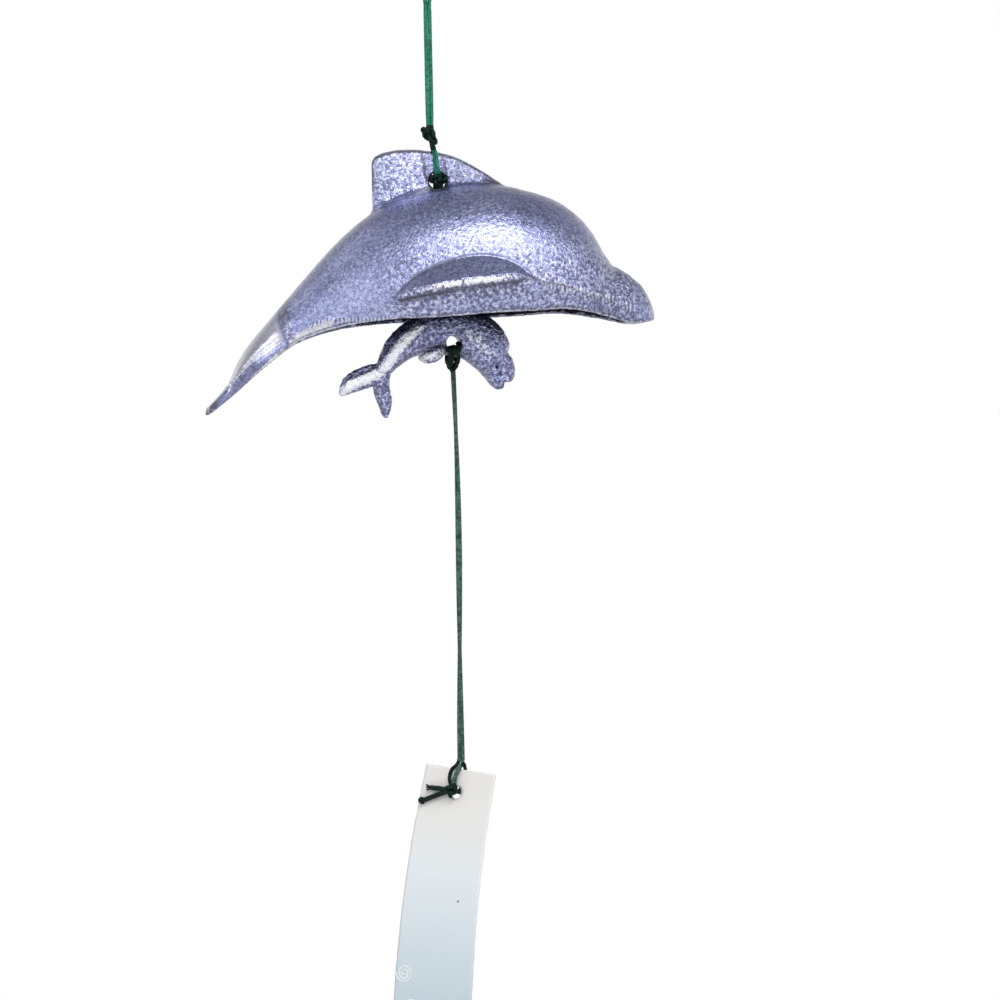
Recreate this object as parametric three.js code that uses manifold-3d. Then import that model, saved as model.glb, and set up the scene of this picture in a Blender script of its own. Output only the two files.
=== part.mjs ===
// Cast iron wind chime: a hollow dolphin bell, a calf clapper inside it and a paper strip, on green cords.
// Millimetres, +Z up, +X towards the snout, with the origin at the top of the hanging loop.

import * as THREE from "three";
import { LoftGeometry } from "three/addons/geometries/LoftGeometry.js";
import { mergeVertices } from "three/addons/utils/BufferGeometryUtils.js";
import Module from "manifold-3d";

// Bell casting
const bellLength = 117;
const bellWidth = 47.5;
const backHeight = 36; // from the rim to the top of the back
const wall = 2.6;
const flukeLip = 1.1; // rim left standing along the edge of the thin flukes
const finTop = 9; // fin above the back
const finLength = 34;
const finThickness = 4.8;
const finFrontReach = 17; // from the cross hole to the fin's front foot
const finFillet = 1.3;
const flipperReach = 5; // flipper beyond the side of the body
const flipperLength = 36.5;
const flipperFront = 22.6; // from the cross hole to the flipper's front end
const flipperRise = 0.7; // front end above the chine
const flipperDrop = 5; // rear end below the front end
const flipperLip = 2.3;
const flukeNotch = 6; // between the flukes
const flukeSweep = 9; // how far the fluke tips lie ahead of their trailing edge
const crossHole = 4.5; // through the foot of the fin
const crossHoleFromTail = 61;
const crossHoleRise = 36.6; // hole centre above the rim
const crownBore = 2.2; // from the cross hole down into the bell
const boreAhead = 1; // bore ahead of the cross hole's middle
const grooveWidth = 5.4;
const grooveDepth = 0.55;
const grooveLean = 0.2; // radians that the grooves lean back, as the cord does
const seated = 1.2; // how deep a fin or flipper is cast into the body

// Calf clapper
const calfLength = 45.5;
const calfWidth = 12.6;
const calfFinThickness = 2.8;
const calfFinHole = 2.2;
const calfFinLug = 1.7; // iron around the fin's hole
const calfMouthDepth = 0.6;
const calfCrossHole = 3.9;
const calfHoleAhead = 2.1; // from the fin hole, towards the head
const calfHoleFoot = 1.275; // iron below the cross hole

// Cords and how far they drop
const cord = 1.15;
const pairedCord = 1.5; // two thin strands laid together
const gap = 0.3;
const loopDrop = 55.7; // from the hook to the cord in the fin's cross hole
const eyeHeight = 10;
const eyeWidth = 6.4;
const knotLength = 5.8;
const knotThickness = 2.9;
const knotRise = 10.6; // hanging knot's middle above the cord in the cross hole
const finHoleOffset = 1.6; // the fin's hole stands ahead of the hanging loop
const clapperDrop = 30.8; // from the cord in the cross hole to the calf's fin hole
const swivelLength = 3; // first short stretch of the clapper cord
const calfHitchHeight = 6.2; // from the cord in the calf's fin hole to the top of its knot
const hitchHeight = 6; // from the cord in the calf's cross hole to the foot of its knot
const stripDrop = 110.8; // from the calf's cross hole to the strip's top edge
const stripKnotTop = 2; // where the strip's own cord begins, above its top edge

// Paper strip
const stripWidth = 24;
const stripLength = 135;
const stripThickness = 0.3;
const stripHole = 3.2;
const stripHoleBelow = 6.2; // hole centre below the top edge
const stripTurn = 44.5; // degrees about the plumb line
const stripTwist = 16.5; // degrees from top to bottom
const stripTilt = 6; // degrees in its own plane
const stripLean = 13; // degrees at the top edge
const stripCurl = 33; // degrees from top to bottom

// Colours
const paintedIron = { color: 0x8288b8, roughness: 0.42, metalness: 0.6 };
const greenCord = { color: 0x0f5a44, roughness: 0.8, metalness: 0 };
const darkCord = { color: 0x123a30, roughness: 0.8, metalness: 0 };
const paper = { color: 0xdcdcdc, roughness: 0.85, metalness: 0 };

// Solids

const wasm = await Module();
wasm.setup();

function solidOf(geometry) {
  const plain = new THREE.BufferGeometry().copy(geometry);
  plain.deleteAttribute("normal");
  plain.deleteAttribute("uv");
  const merged = mergeVertices(plain, 1e-4);
  const triVerts = new Uint32Array(merged.index.array);
  const vertProperties = merged.attributes.position.array;
  return new wasm.Manifold(new wasm.Mesh({ numProp: 3, vertProperties, triVerts }));
}

function meshOf(name, solid, look) {
  const { vertProperties, triVerts } = solid.getMesh();
  const geometry = new THREE.BufferGeometry();
  geometry.setAttribute("position", new THREE.BufferAttribute(vertProperties, 3));
  geometry.setIndex(new THREE.BufferAttribute(triVerts, 1));
  geometry.computeVertexNormals();
  const mesh = new THREE.Mesh(geometry, new THREE.MeshStandardMaterial(look));
  mesh.name = name;
  return mesh;
}

function union(solids) {
  return solids.reduce((whole, next) => whole.add(next));
}

// A smooth line through [along, value] pairs, read at any place along it
function profile(pairs) {
  const places = pairs.map(([along]) => along);
  const values = pairs.map(([, value]) => value);
  const line = new THREE.CubicInterpolant(places, values, 1, new Float64Array(1));
  return (along) => line.evaluate(along)[0];
}

function smoothStep(low, high, value) {
  return THREE.MathUtils.smoothstep(value, low, high);
}

function loft(sections) {
  return solidOf(new LoftGeometry(sections, { capStart: true, capEnd: true }));
}

function tube(points, diameter, sides = 8) {
  const round = new THREE.Shape();
  round.absarc(0, 0, diameter / 2, 0, 2 * Math.PI);
  const extrudePath = new THREE.CatmullRomCurve3(points, false, "centripetal");
  const steps = Math.ceil(extrudePath.getLength() / (1.1 * diameter));
  const settings = { steps, curveSegments: sides / 2, bevelEnabled: false, extrudePath };
  return solidOf(new THREE.ExtrudeGeometry(round, settings));
}

function lump(centre, length, thickness, tilt = 0) {
  const geometry = new THREE.SphereGeometry(0.5, 12, 8);
  geometry.scale(length, thickness, thickness);
  geometry.rotateY(tilt);
  geometry.translate(centre.x, centre.y, centre.z);
  return solidOf(geometry);
}

// A round bar between two points
function bar(from, to, diameter, sides = 24) {
  const length = from.distanceTo(to);
  const geometry = new THREE.CylinderGeometry(diameter / 2, diameter / 2, length, sides);
  const direction = to.clone().sub(from).normalize();
  const turn = new THREE.Quaternion().setFromUnitVectors(new THREE.Vector3(0, 1, 0), direction);
  geometry.applyQuaternion(turn);
  const middle = from.clone().add(to).multiplyScalar(0.5);
  geometry.translate(middle.x, middle.y, middle.z);
  return solidOf(geometry);
}

const at = (x, y, z) => new THREE.Vector3(x, y, z);

// Bell: lines along the body, in hundredths of its length from the tail, heights in hundredths of the back's

const snoutShare = 100;
const tailShare = -3; // the body is lofted past the tail, and the fluke cutter trims it
const cavityShare = 93.5; // where the hollow ends
const crownLine = profile([
  [-4, -72], [0, -57.5], [4, -43.5], [7, -24.5], [14, 2.5], [21, 28.5], [30, 60], [37.5, 79.5], [46, 92],
  [56, 98], [66, 98], [71, 94.2], [77, 88], [81.5, 79.4], [85.6, 66], [88, 53], [89.8, 40.8], [92.5, 36],
  [95.4, 28.9], [98.2, 19.4], [100, 4],
]);
const rimLine = profile([
  [-4, -78], [0, -65.5], [6, -50], [11, -36], [15.5, -24.4], [20, -14], [29, -4], [38, 0.4], [51, 1.6],
  [63, 4], [74, 5.4], [78, 6.2], [82.5, 5], [88, 1.4], [95.5, -4], [100, -1.5],
]);
const widthLine = profile([
  [-4, 66], [0, 80], [3.7, 92], [8, 75], [11, 62], [14.5, 53], [18.5, 52], [23, 58], [30, 67.5], [37, 78],
  [43, 88], [50, 96], [58, 100], [66, 99], [72.5, 94], [79, 84], [84, 72], [87, 61], [89.5, 50],
  [92, 41], [95, 33], [98, 22], [99.4, 13], [100, 6],
]);
const chineRise = profile([
  [-4, 5], [0, 7], [5, 11.5], [12, 11.5], [20, 7], [30, 6], [40, 11], [50, 17], [60, 21], [68, 21.5],
  [73, 19.5], [78, 15.5], [84, 12.2], [90, 12], [95, 8.8], [98, 6], [100, 3],
]);
const rimInset = profile([
  [-4, 0], [14, 0], [30, 0.8], [50, 1.6], [70, 2.2], [88, 2.2], [96, 1.2], [100, 0.3],
]);

const xOf = (share) => (share * bellLength) / 100 - crossHoleFromTail;
const shareOf = (x) => (100 * (x + crossHoleFromTail)) / bellLength;
const holeCentre = gap + cord / 2 - crossHole / 2; // below the cord, which hangs the bell by the hole's top
const rimDatum = holeCentre - crossHoleRise;
const zOf = (percent) => rimDatum + (percent * backHeight) / 100;
const roundness = 2.15;

function outerSizes(share) {
  return {
    crown: zOf(crownLine(share)),
    chine: zOf(rimLine(share) + chineRise(share)),
    rim: zOf(rimLine(share)),
    halfWidth: (widthLine(share) * bellWidth) / 200,
    rimHalfWidth: (widthLine(share) * bellWidth) / 200 - rimInset(share),
  };
}

// The inner wall lies one wall inside the outer one, and along the flukes it runs out to a thin lip
function innerSizes(share) {
  const outer = outerSizes(share);
  const step = 0.5;
  const ahead = outerSizes(share + step);
  const behind = outerSizes(share - step);
  const run = xOf(share + step) - xOf(share - step);
  const crownSlope = (ahead.crown - behind.crown) / run;
  const sideSlope = (ahead.halfWidth - behind.halfWidth) / run;
  const inBody = smoothStep(14, 38, share);
  const side = THREE.MathUtils.lerp(flukeLip, wall, inBody) * Math.hypot(1, sideSlope);
  const below = 2 * wall;
  const crown = outer.crown - wall * Math.hypot(1, crownSlope);
  return {
    crown,
    chine: Math.min(THREE.MathUtils.lerp(outer.rim, outer.chine, inBody), crown - 0.2 * wall),
    rim: outer.rim - below,
    halfWidth: outer.halfWidth - side,
    rimHalfWidth: outer.rimHalfWidth - side,
  };
}

// Half a section, from the crown down one side to the rim
function halfSection(sizes, arcs = 11) {
  const points = [];
  for (let i = 0; i <= arcs; i++) {
    const angle = (Math.PI / 2) * (1 - i / arcs);
    const across = Math.cos(angle) ** (2 / roundness);
    const up = Math.sin(angle) ** (2 / roundness);
    points.push([sizes.halfWidth * across, sizes.chine + (sizes.crown - sizes.chine) * up]);
  }
  points.push([(sizes.halfWidth * 2 + sizes.rimHalfWidth) / 3, (sizes.chine * 2 + sizes.rim) / 3]);
  points.push([sizes.rimHalfWidth, sizes.rim]);
  return points;
}

function wholeSection(x, half) {
  const far = half.map(([y, z]) => at(x, y, z)).reverse();
  const near = half.slice(1).map(([y, z]) => at(x, -y, z));
  return far.concat(near);
}

function bodyForm(sizesAt, from, to, count) {
  const sections = [];
  for (let i = 0; i <= count; i++) {
    const even = i / count;
    const eased = (even + (1 - Math.cos(Math.PI * even)) / 2) / 2;
    const share = THREE.MathUtils.lerp(from, to, eased);
    sections.push(wholeSection(xOf(share), halfSection(sizesAt(share))));
  }
  return loft(sections);
}

// Half width of the body at a height, for what is set against its side
function sideAt(x, z) {
  const sizes = outerSizes(shareOf(x));
  if (z <= sizes.chine) {
    const down = (sizes.chine - z) / (sizes.chine - sizes.rim);
    return THREE.MathUtils.lerp(sizes.halfWidth, sizes.rimHalfWidth, Math.min(down, 1));
  }
  const up = Math.min((z - sizes.chine) / (sizes.crown - sizes.chine), 1);
  return sizes.halfWidth * (1 - up ** roundness) ** (1 / roundness);
}

// Back fin: an upright rear edge, a rounded top and a front that runs down into the back
function backFin() {
  const frontFoot = zOf(99.5);
  const top = zOf(100) + finTop;
  const outline = profile([
    [0, 66], [1.6, 78], [6, 88], [15, 97], [27, 100], [40, 97.5], [52, 90.5], [63.5, 78.5], [73, 61.5],
    [83, 40.5], [92.7, 17], [100, 0],
  ]);
  const count = 24;
  const sections = [];
  for (let i = 0; i <= count; i++) {
    const along = 50 * (1 - Math.cos((Math.PI * i) / count));
    const x = finFrontReach - finLength * (1 - along / 100);
    const back = outerSizes(shareOf(x)).crown;
    const height = Math.max(frontFoot + ((top - frontFoot) * outline(along)) / 100 - back, gap);
    const fillet = Math.min(finFillet, 0.3 * height);
    const half = (finThickness / 2) * Math.min(1, 0.5 + Math.min(along, 100 - along) / 24);
    const lip = Math.min(1, 0.3 * height);
    sections.push(wholeSection(x, [
      [half * 0.32, back + height],
      [half * 0.66, back + height - 0.7 * lip],
      [half * 0.86, back + height - 2.1 * lip],
      [half, back + fillet],
      [half + 0.3 * fillet, back + 0.3 * fillet],
      [half + fillet, back - 0.2 * fillet],
      [half + fillet, back - seated],
    ]));
  }
  return loft(sections);
}

// Side flipper: a crescent ledge with a hollowed upper face and a rounded lower lip
function flipper(side) {
  const arch = profile([
    [0, 0], [15, 18.5], [30, 28.3], [47, 33], [64, 32.5], [80, 25], [92, 13], [100, 0.5],
  ]);
  const lift = flipperLength / 158;
  const front = outerSizes(shareOf(flipperFront)).chine + flipperRise;
  const count = 20;
  const sections = [];
  for (let i = 0; i <= count; i++) {
    const along = 50 * (1 - Math.cos((Math.PI * i) / count));
    const x = flipperFront - flipperLength * (1 - along / 100);
    const lower = front - flipperDrop * (1 - along / 100) ** 1.1;
    const upper = lower + 0.4 + lift * arch(along);
    const ends = Math.min(Math.max(along / 100, 0.03), 0.97);
    const edge = sideAt(x, lower) + flipperReach * Math.sin(Math.PI * ends) ** 0.7;
    const lip = Math.min(flipperLip, 0.4 * (upper - lower) + 0.2);
    const hollow = THREE.MathUtils.lerp(lower + lip, upper, 0.36);
    const points = [
      [sideAt(x, lower) - seated, lower - 0.1],
      [edge - 0.45 * lip, lower],
      [edge, lower + 0.35 * lip],
      [edge - 0.1 * lip, lower + 0.75 * lip],
      [edge - 0.5 * lip, lower + lip],
      [THREE.MathUtils.lerp(sideAt(x, upper), edge - 0.5 * lip, 0.4), hollow],
      [sideAt(x, upper) + 0.1, upper - 0.15],
      [sideAt(x, upper) - seated, upper],
    ];
    const placed = points.map(([y, z]) => at(x, side * y, z));
    sections.push(side > 0 ? placed : placed.reverse());
  }
  return loft(sections);
}

// What is cut away beyond the flukes' trailing edge
function flukeCutter() {
  const rake = 0.14;
  const half = bellWidth / 2;
  const beyond = bellLength / 4;
  const depth = bellLength / 3;
  const outline = new THREE.Shape();
  outline.moveTo(-beyond, -2 * half);
  outline.lineTo(flukeSweep, -half);
  outline.quadraticCurveTo(0.06 * flukeSweep, -0.96 * half, 0, -0.78 * half);
  outline.quadraticCurveTo(0.16 * flukeNotch, -0.32 * half, flukeNotch, 0);
  outline.quadraticCurveTo(0.16 * flukeNotch, 0.32 * half, 0, 0.78 * half);
  outline.quadraticCurveTo(0.06 * flukeSweep, 0.96 * half, flukeSweep, half);
  outline.lineTo(-beyond, 2 * half);
  const geometry = new THREE.ExtrudeGeometry(outline, { depth, bevelEnabled: false, curveSegments: 7 });
  geometry.translate(0, 0, -depth / 2);
  geometry.rotateY(-rake);
  geometry.translate(xOf(0.4), 0, zOf(rimLine(0)));
  return solidOf(geometry);
}

// Worn grooves that let the cord past the fin
function groove(side) {
  const depth = finThickness;
  const face = finThickness / 2 - grooveDepth;
  const geometry = new THREE.BoxGeometry(grooveWidth, depth, 2 * finTop);
  geometry.translate(0, side * (face + depth / 2), finTop);
  geometry.rotateY(-grooveLean);
  geometry.translate(0, 0, holeCentre);
  return solidOf(geometry);
}

const ceiling = innerSizes(shareOf(boreAhead)).crown;

function bellSolid() {
  const outer = bodyForm(outerSizes, tailShare, snoutShare, 44);
  const form = union([outer, backFin(), flipper(1), flipper(-1)]);
  const cuts = union([
    bodyForm(innerSizes, tailShare, cavityShare, 38),
    flukeCutter(),
    bar(at(0, -bellWidth, holeCentre), at(0, bellWidth, holeCentre), crossHole),
    bar(at(boreAhead, 0, holeCentre), at(boreAhead, 0, ceiling - wall), crownBore, 12),
    groove(1),
    groove(-1),
  ]);
  return form.subtract(cuts);
}

// Calf: places in hundredths of its length, from the cord in its fin's hole

const calfAt = ([x, z]) => new THREE.Vector2((x * calfLength) / 100, (z * calfLength) / 100);
const calfHoleBelow = 0.35 * calfLength - calfHoleFoot - calfCrossHole / 2; // below the fin's hole
const calfBack = new THREE.SplineCurve([
  [-40.2, -42.5], [-35, -28.8], [-27.5, -19.6], [-15.4, -11.8], [-2.2, -8.2], [9.8, -7.6], [22, -10.8],
  [31.2, -17.8], [36.2, -25.5], [37.3, -30.2], [36.4, -33.9], [38.9, -37.8], [40.2, -43.6], [39.6, -48],
  [37.2, -50.8],
].map(calfAt));
const calfBelly = new THREE.SplineCurve([
  [-31.7, -45.5], [-25, -39.8], [-16.2, -35], [-5.7, -34.8], [1.3, -35], [7.8, -36.2], [12.6, -38.8],
  [16.7, -42.2], [19.2, -44.4], [21.1, -46.4], [23, -48.8], [24.8, -51.2], [27.3, -53.7], [30.2, -55.2],
  [32.8, -54.4],
].map(calfAt));
const calfSides = profile([
  [0, 38], [8, 56], [17, 78], [25, 92], [33, 99], [42, 100], [50, 97], [58, 89], [65, 76], [71, 59],
  [76, 54], [85, 48], [93, 38], [100, 20],
]);

// A rounded blade along a path: widths lie along wide, thickness lies across it
function blade(path, wide, widths, thickness, count = 10, around = 10) {
  const curve = new THREE.CatmullRomCurve3(path, false, "centripetal");
  const widthAt = profile(widths);
  const sections = [];
  for (let i = 0; i <= count; i++) {
    const middle = curve.getPoint(i / count);
    const forward = curve.getTangent(i / count);
    const thick = new THREE.Vector3().crossVectors(forward, wide).normalize();
    const across = new THREE.Vector3().crossVectors(thick, forward).normalize();
    const width = widthAt((100 * i) / count);
    const depth = Math.min(thickness, width * 0.75);
    const ring = [];
    for (let j = 0; j < around; j++) {
      const angle = (2 * Math.PI * j) / around;
      const offset = across.clone().multiplyScalar((width / 2) * Math.cos(angle));
      offset.addScaledVector(thick, (depth / 2) * Math.sin(angle));
      ring.push(middle.clone().add(offset));
    }
    sections.push(ring);
  }
  return loft(sections);
}

// What is cut away so that the lower jaw stands back from the upper one
function calfJaw() {
  const size = 0.2 * calfLength;
  const corner = calfAt([33.7, -50.6]);
  const geometry = new THREE.BoxGeometry(size, calfWidth, size);
  geometry.translate(size / 2, 0, -size / 2);
  geometry.rotateY(0.06);
  geometry.translate(corner.x, 0, corner.y);
  return solidOf(geometry);
}

// The mouth's line along one side of the jaw
function calfMouth(side) {
  const front = calfAt([34, -51]);
  const rear = calfAt([28, -40.5]);
  const inner = 0.24 * calfWidth - calfMouthDepth;
  const geometry = new THREE.BoxGeometry(front.distanceTo(rear), calfWidth, 0.8 * calfMouthDepth);
  geometry.translate(0, side * (inner + calfWidth / 2), 0);
  geometry.rotateY(Math.atan2(rear.y - front.y, front.x - rear.x));
  const middle = front.lerp(rear, 0.5);
  geometry.translate(middle.x, 0, middle.y);
  return solidOf(geometry);
}

function calfSolid() {
  const count = 34;
  const around = 20;
  const power = 2 / 2.3;
  const rounded = (value) => Math.sign(value) * Math.abs(value) ** power;
  const sections = [];
  for (let i = 0; i <= count; i++) {
    const back = calfBack.getPoint(i / count);
    const belly = calfBelly.getPoint(i / count);
    const half = (calfSides((100 * i) / count) * calfWidth) / 200;
    const ring = [];
    for (let j = 0; j < around; j++) {
      const angle = (2 * Math.PI * (j + 0.5)) / around;
      const up = (1 + rounded(Math.sin(angle))) / 2;
      const place = belly.clone().lerp(back, up);
      ring.push(at(place.x, half * rounded(Math.cos(angle)), place.y));
    }
    sections.push(ring);
  }
  const spot = (x, y, z) => at((x * calfLength) / 100, y, (z * calfLength) / 100);
  const share = calfLength / 100;
  const across = at(0, 1, 0);
  const plane = at(1, 0, 0);
  const flukePlane = at(0.7, 0, -0.7);
  const rearFluke = blade(
    [spot(-34.2, 0, -42), spot(-45.2, 0, -46.5), spot(-54.2, 0, -50.5), spot(-60.2, 0, -56.5)],
    at(0, 0, 1),
    [[0, 9 * share], [30, 12.5 * share], [70, 10.5 * share], [92, 5 * share], [100, 2.2 * share]],
    3.2,
  );
  const lowFluke = blade(
    [spot(-35.2, 0, -42), spot(-36.7, 0, -52), spot(-34.8, 0, -61), spot(-34.6, 0, -70)],
    plane,
    [[0, 9 * share], [30, 10 * share], [70, 8.4 * share], [92, 4.6 * share], [100, 2.2 * share]],
    3.2,
  );
  const finHoleZ = gap + cord / 2 - calfFinHole / 2;
  const finTip = finHoleZ + calfFinHole / 2 + calfFinLug;
  const finWidth = calfFinHole + 2 * calfFinLug;
  const fin = blade(
    [spot(-3, 0, -16), spot(-1.6, 0, -7), at(0, 0, finHoleZ), at(-0.2 * calfFinLug, 0, finTip)],
    plane,
    [[0, 21 * share], [35, 1.3 * finWidth], [70, finWidth], [92, 0.7 * finWidth], [100, 0.4 * finWidth]],
    calfFinThickness,
  );
  const flippers = [-1, 1].map((side) => blade(
    [
      spot(-1.5, side * calfWidth * 0.33, -31),
      spot(-6.5, side * calfWidth * 0.46, -34.8),
      spot(-14, side * calfWidth * 0.52, -36),
    ],
    at(0, 0, 1),
    [[0, 7 * share], [40, 8.6 * share], [75, 7 * share], [92, 4.4 * share], [100, 2 * share]],
    2.1,
    8,
  ));
  const crossHoleAt = (y) => at(calfHoleAhead, y, -calfHoleBelow);
  const finHoleAt = (y) => at(0, y, finHoleZ);
  const form = union([loft(sections), rearFluke, lowFluke, fin, ...flippers]);
  return form
    .subtract(union([calfJaw(), calfMouth(1), calfMouth(-1)]))
    .subtract(bar(crossHoleAt(-calfWidth), crossHoleAt(calfWidth), calfCrossHole, 20))
    .subtract(bar(finHoleAt(-calfWidth), finHoleAt(calfWidth), calfFinHole, 14));
}

// Cords

// Points and their mirror images across the XZ plane, as one run from side to side
function bothSides(half) {
  const mirrored = half.slice(1).map((point) => at(point.x, -point.y, point.z));
  return half.slice().reverse().concat(mirrored);
}

const strand = (cord + 0.15) / 2; // from the middle of a doubled cord to each strand
const knotMiddle = -loopDrop + knotRise;
const cordFoot = knotMiddle + knotThickness * 0.85;

function hangingCord() {
  const bend = eyeWidth / 2 - cord / 2;
  const half = [
    at(0, 0, cord / 2),
    at(0.62 * bend, 0, -0.1 * eyeHeight),
    at(bend, 0, -0.36 * eyeHeight),
    at(0.8 * bend, 0, -0.68 * eyeHeight),
    at(strand, 0, -1.2 * eyeHeight),
    at(strand, 0, -2 * eyeHeight),
    at(strand, 0, cordFoot + gap),
  ];
  const other = half.slice(1).map((point) => at(-point.x, 0, point.z));
  return tube(half.slice().reverse().concat(other), cord);
}

function hangingKnot() {
  const middle = at(0, 0, knotMiddle);
  const stubs = [-1, 1].map((side) => {
    const foot = at(side * strand, 0, knotMiddle);
    return bar(foot, at(side * strand, 0, cordFoot), cord, 8);
  });
  return union([lump(middle, knotLength, knotThickness, 0.72), ...stubs]);
}

function finLoop() {
  const reach = finThickness / 2 - grooveDepth + gap + cord / 2;
  const lean = -finHoleOffset;
  return tube(bothSides([
    at(0, 0, 0),
    at(0, reach - cord, 0),
    at(0, reach - 0.3 * cord, 0.32 * cord),
    at(0, reach, 1.15 * cord),
    at(0.12 * lean, reach, 3.4),
    at(0.3 * lean, reach, 5.6),
    at(0.38 * lean, reach * 0.88, 6.7),
    at(0.46 * lean, reach * 0.64, 7.6),
    at(0.5 * lean, reach * 0.3, 8.05),
  ]), cord);
}

const stemFoot = ceiling;
const swivelTop = stemFoot - gap;
const swivelFoot = swivelTop - swivelLength;

function crownKnot() {
  const low = holeCentre - crossHole / 2;
  const thickness = 2.1;
  const middle = at(boreAhead, 0, low + 0.25 + thickness / 2);
  return union([lump(middle, 2.1, thickness), bar(middle, at(boreAhead, 0, stemFoot), cord, 8)]);
}

function clapperHitch() {
  const reach = calfFinThickness / 2 + gap + cord / 2;
  const loop = tube(bothSides([
    at(0, 0, 0),
    at(0, reach - cord, 0),
    at(0, reach - 0.3 * cord, 0.32 * cord),
    at(0, reach, 1.1 * cord),
    at(0, reach * 0.9, 2.6),
    at(0, reach * 0.5, 4),
    at(0, 0.4, 4.8),
  ]), cord);
  const knotAt = at(0, 0, 4.8);
  return union([loop, lump(knotAt, 2.4, 2), bar(knotAt, at(0, 0, calfHitchHeight), cord, 8)]);
}

const stripCordAt = -calfHoleBelow - calfCrossHole / 2 + gap + cord / 2; // cord in the calf's cross hole

function stripHitch() {
  const reach = calfWidth / 2 - 0.4;
  const loop = tube(bothSides([
    at(0, 0, 0),
    at(0, reach - cord, 0),
    at(0.1, reach - 0.25 * cord, -0.12 * cord),
    at(0.2, reach, -0.75 * cord),
    at(0.3, reach * 0.86, -2),
    at(0.3, reach * 0.5, -3.5),
    at(0.1, 0.6, -hitchHeight + 1.5),
  ]).map((point) => at(point.x * Math.sign(-point.y), point.y, point.z)), cord);
  return union([loop, lump(at(0, 0, -hitchHeight + 1.1), 2.8, 2.2)]);
}

// Strip: its own frame has across along the width, down along the length and out towards the front

function stripPoint(across, down, out) {
  const steps = 30;
  const place = at(0, 0, 0);
  const step = down / steps;
  let wide;
  let front;
  for (let i = 0; i <= steps; i++) {
    const share = Math.max(step * (i - 0.5), 0) / stripLength;
    const turn = THREE.MathUtils.degToRad(stripTurn - stripTwist * share);
    const lean = THREE.MathUtils.degToRad(stripLean - stripCurl * share);
    const tilt = THREE.MathUtils.degToRad(stripTilt);
    const level = at(Math.cos(turn), -Math.sin(turn), 0);
    const facing = at(-Math.sin(turn), -Math.cos(turn), 0);
    const fall = at(0, 0, -Math.cos(lean)).addScaledVector(facing, Math.sin(lean));
    const along = fall.clone().multiplyScalar(Math.cos(tilt)).addScaledVector(level, -Math.sin(tilt));
    wide = level.clone().multiplyScalar(Math.cos(tilt)).addScaledVector(fall, Math.sin(tilt));
    front = new THREE.Vector3().crossVectors(along, wide);
    if (i > 0) place.addScaledVector(along, step);
  }
  return place.addScaledVector(wide, across).addScaledVector(front, out);
}

function paperStrip() {
  const count = 28;
  const half = stripWidth / 2;
  const face = stripThickness / 2;
  const sections = [];
  for (let i = 0; i <= count; i++) {
    const down = (stripLength * i) / count;
    sections.push([
      stripPoint(-half, down, -face),
      stripPoint(half, down, -face),
      stripPoint(half, down, face),
      stripPoint(-half, down, face),
    ]);
  }
  const from = stripPoint(0, stripHoleBelow, -3);
  const to = stripPoint(0, stripHoleBelow, 3);
  return loft(sections).subtract(bar(from, to, stripHole, 20));
}

function stripKnot() {
  const skin = stripThickness / 2 + 0.1 + cord / 2;
  const hole = stripHoleBelow;
  const front = tube([
    stripPoint(0, -stripKnotTop, 0),
    stripPoint(-0.5, -0.8, 0.8 * skin),
    stripPoint(-0.8, 1, skin),
    stripPoint(-0.6, hole - 2, skin),
    stripPoint(-0.2, hole - 0.7, 0.95 * skin),
    stripPoint(0, hole, 0),
  ], cord);
  const rear = tube([
    stripPoint(0, -stripKnotTop, 0),
    stripPoint(0.5, -0.8, -0.8 * skin),
    stripPoint(0.7, 1, -skin),
    stripPoint(0.5, hole - 2, -skin),
    stripPoint(0.1, hole - 0.7, -0.95 * skin),
    stripPoint(0, hole, 0),
  ], cord);
  const knotOut = skin + 0.7;
  const knotAt = stripPoint(-1.6, hole - 0.5, knotOut);
  const upperTail = tube([
    stripPoint(-2, hole - 0.6, knotOut),
    stripPoint(-6, hole - 1, skin + 0.6),
    stripPoint(-9, hole - 1.2, skin + 0.3),
  ], cord);
  const lowerTail = tube([
    stripPoint(-2, hole, knotOut),
    stripPoint(-6.5, hole + 0.9, knotOut),
    stripPoint(-10.6, hole + 2, skin + 0.3),
  ], cord);
  return union([front, rear, lump(knotAt, 3.4, 2.5), upperTail, lowerTail]);
}

// Scene

const chime = new THREE.Group();

function place(x, z, pieces) {
  const group = new THREE.Group();
  group.position.set(x, 0, z);
  group.add(...pieces);
  chime.add(group);
}

const calfZ = -loopDrop - clapperDrop;
const calfX = finHoleOffset + boreAhead;
const stripX = calfX + calfHoleAhead;
const stripTop = calfZ - calfHoleBelow - stripDrop;
const stripCordTop = calfZ + stripCordAt - hitchHeight - gap;
const stripCordFoot = stripTop + stripKnotTop + gap;

place(0, 0, [
  meshOf("hanging_cord", hangingCord(), greenCord),
  meshOf("hanging_knot", hangingKnot(), darkCord),
]);
place(finHoleOffset, -loopDrop, [
  meshOf("fin_loop", finLoop(), greenCord),
  meshOf("dolphin_bell", bellSolid(), paintedIron),
  meshOf("crown_knot", crownKnot(), darkCord),
]);
const clapperCordFoot = calfHitchHeight + gap - clapperDrop;
const swivelCord = bar(at(0, 0, swivelTop), at(0, 0, swivelFoot), cord, 8);
const clapperCord = bar(at(0, 0, swivelFoot - gap), at(0, 0, clapperCordFoot), cord, 8);
place(calfX, -loopDrop, [
  meshOf("clapper_cord_top", swivelCord, greenCord),
  meshOf("clapper_cord", clapperCord, greenCord),
]);
place(calfX, calfZ, [
  meshOf("clapper_hitch", clapperHitch(), darkCord),
  meshOf("calf_clapper", calfSolid(), paintedIron),
]);
place(stripX, calfZ + stripCordAt, [meshOf("strip_hitch", stripHitch(), darkCord)]);
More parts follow.
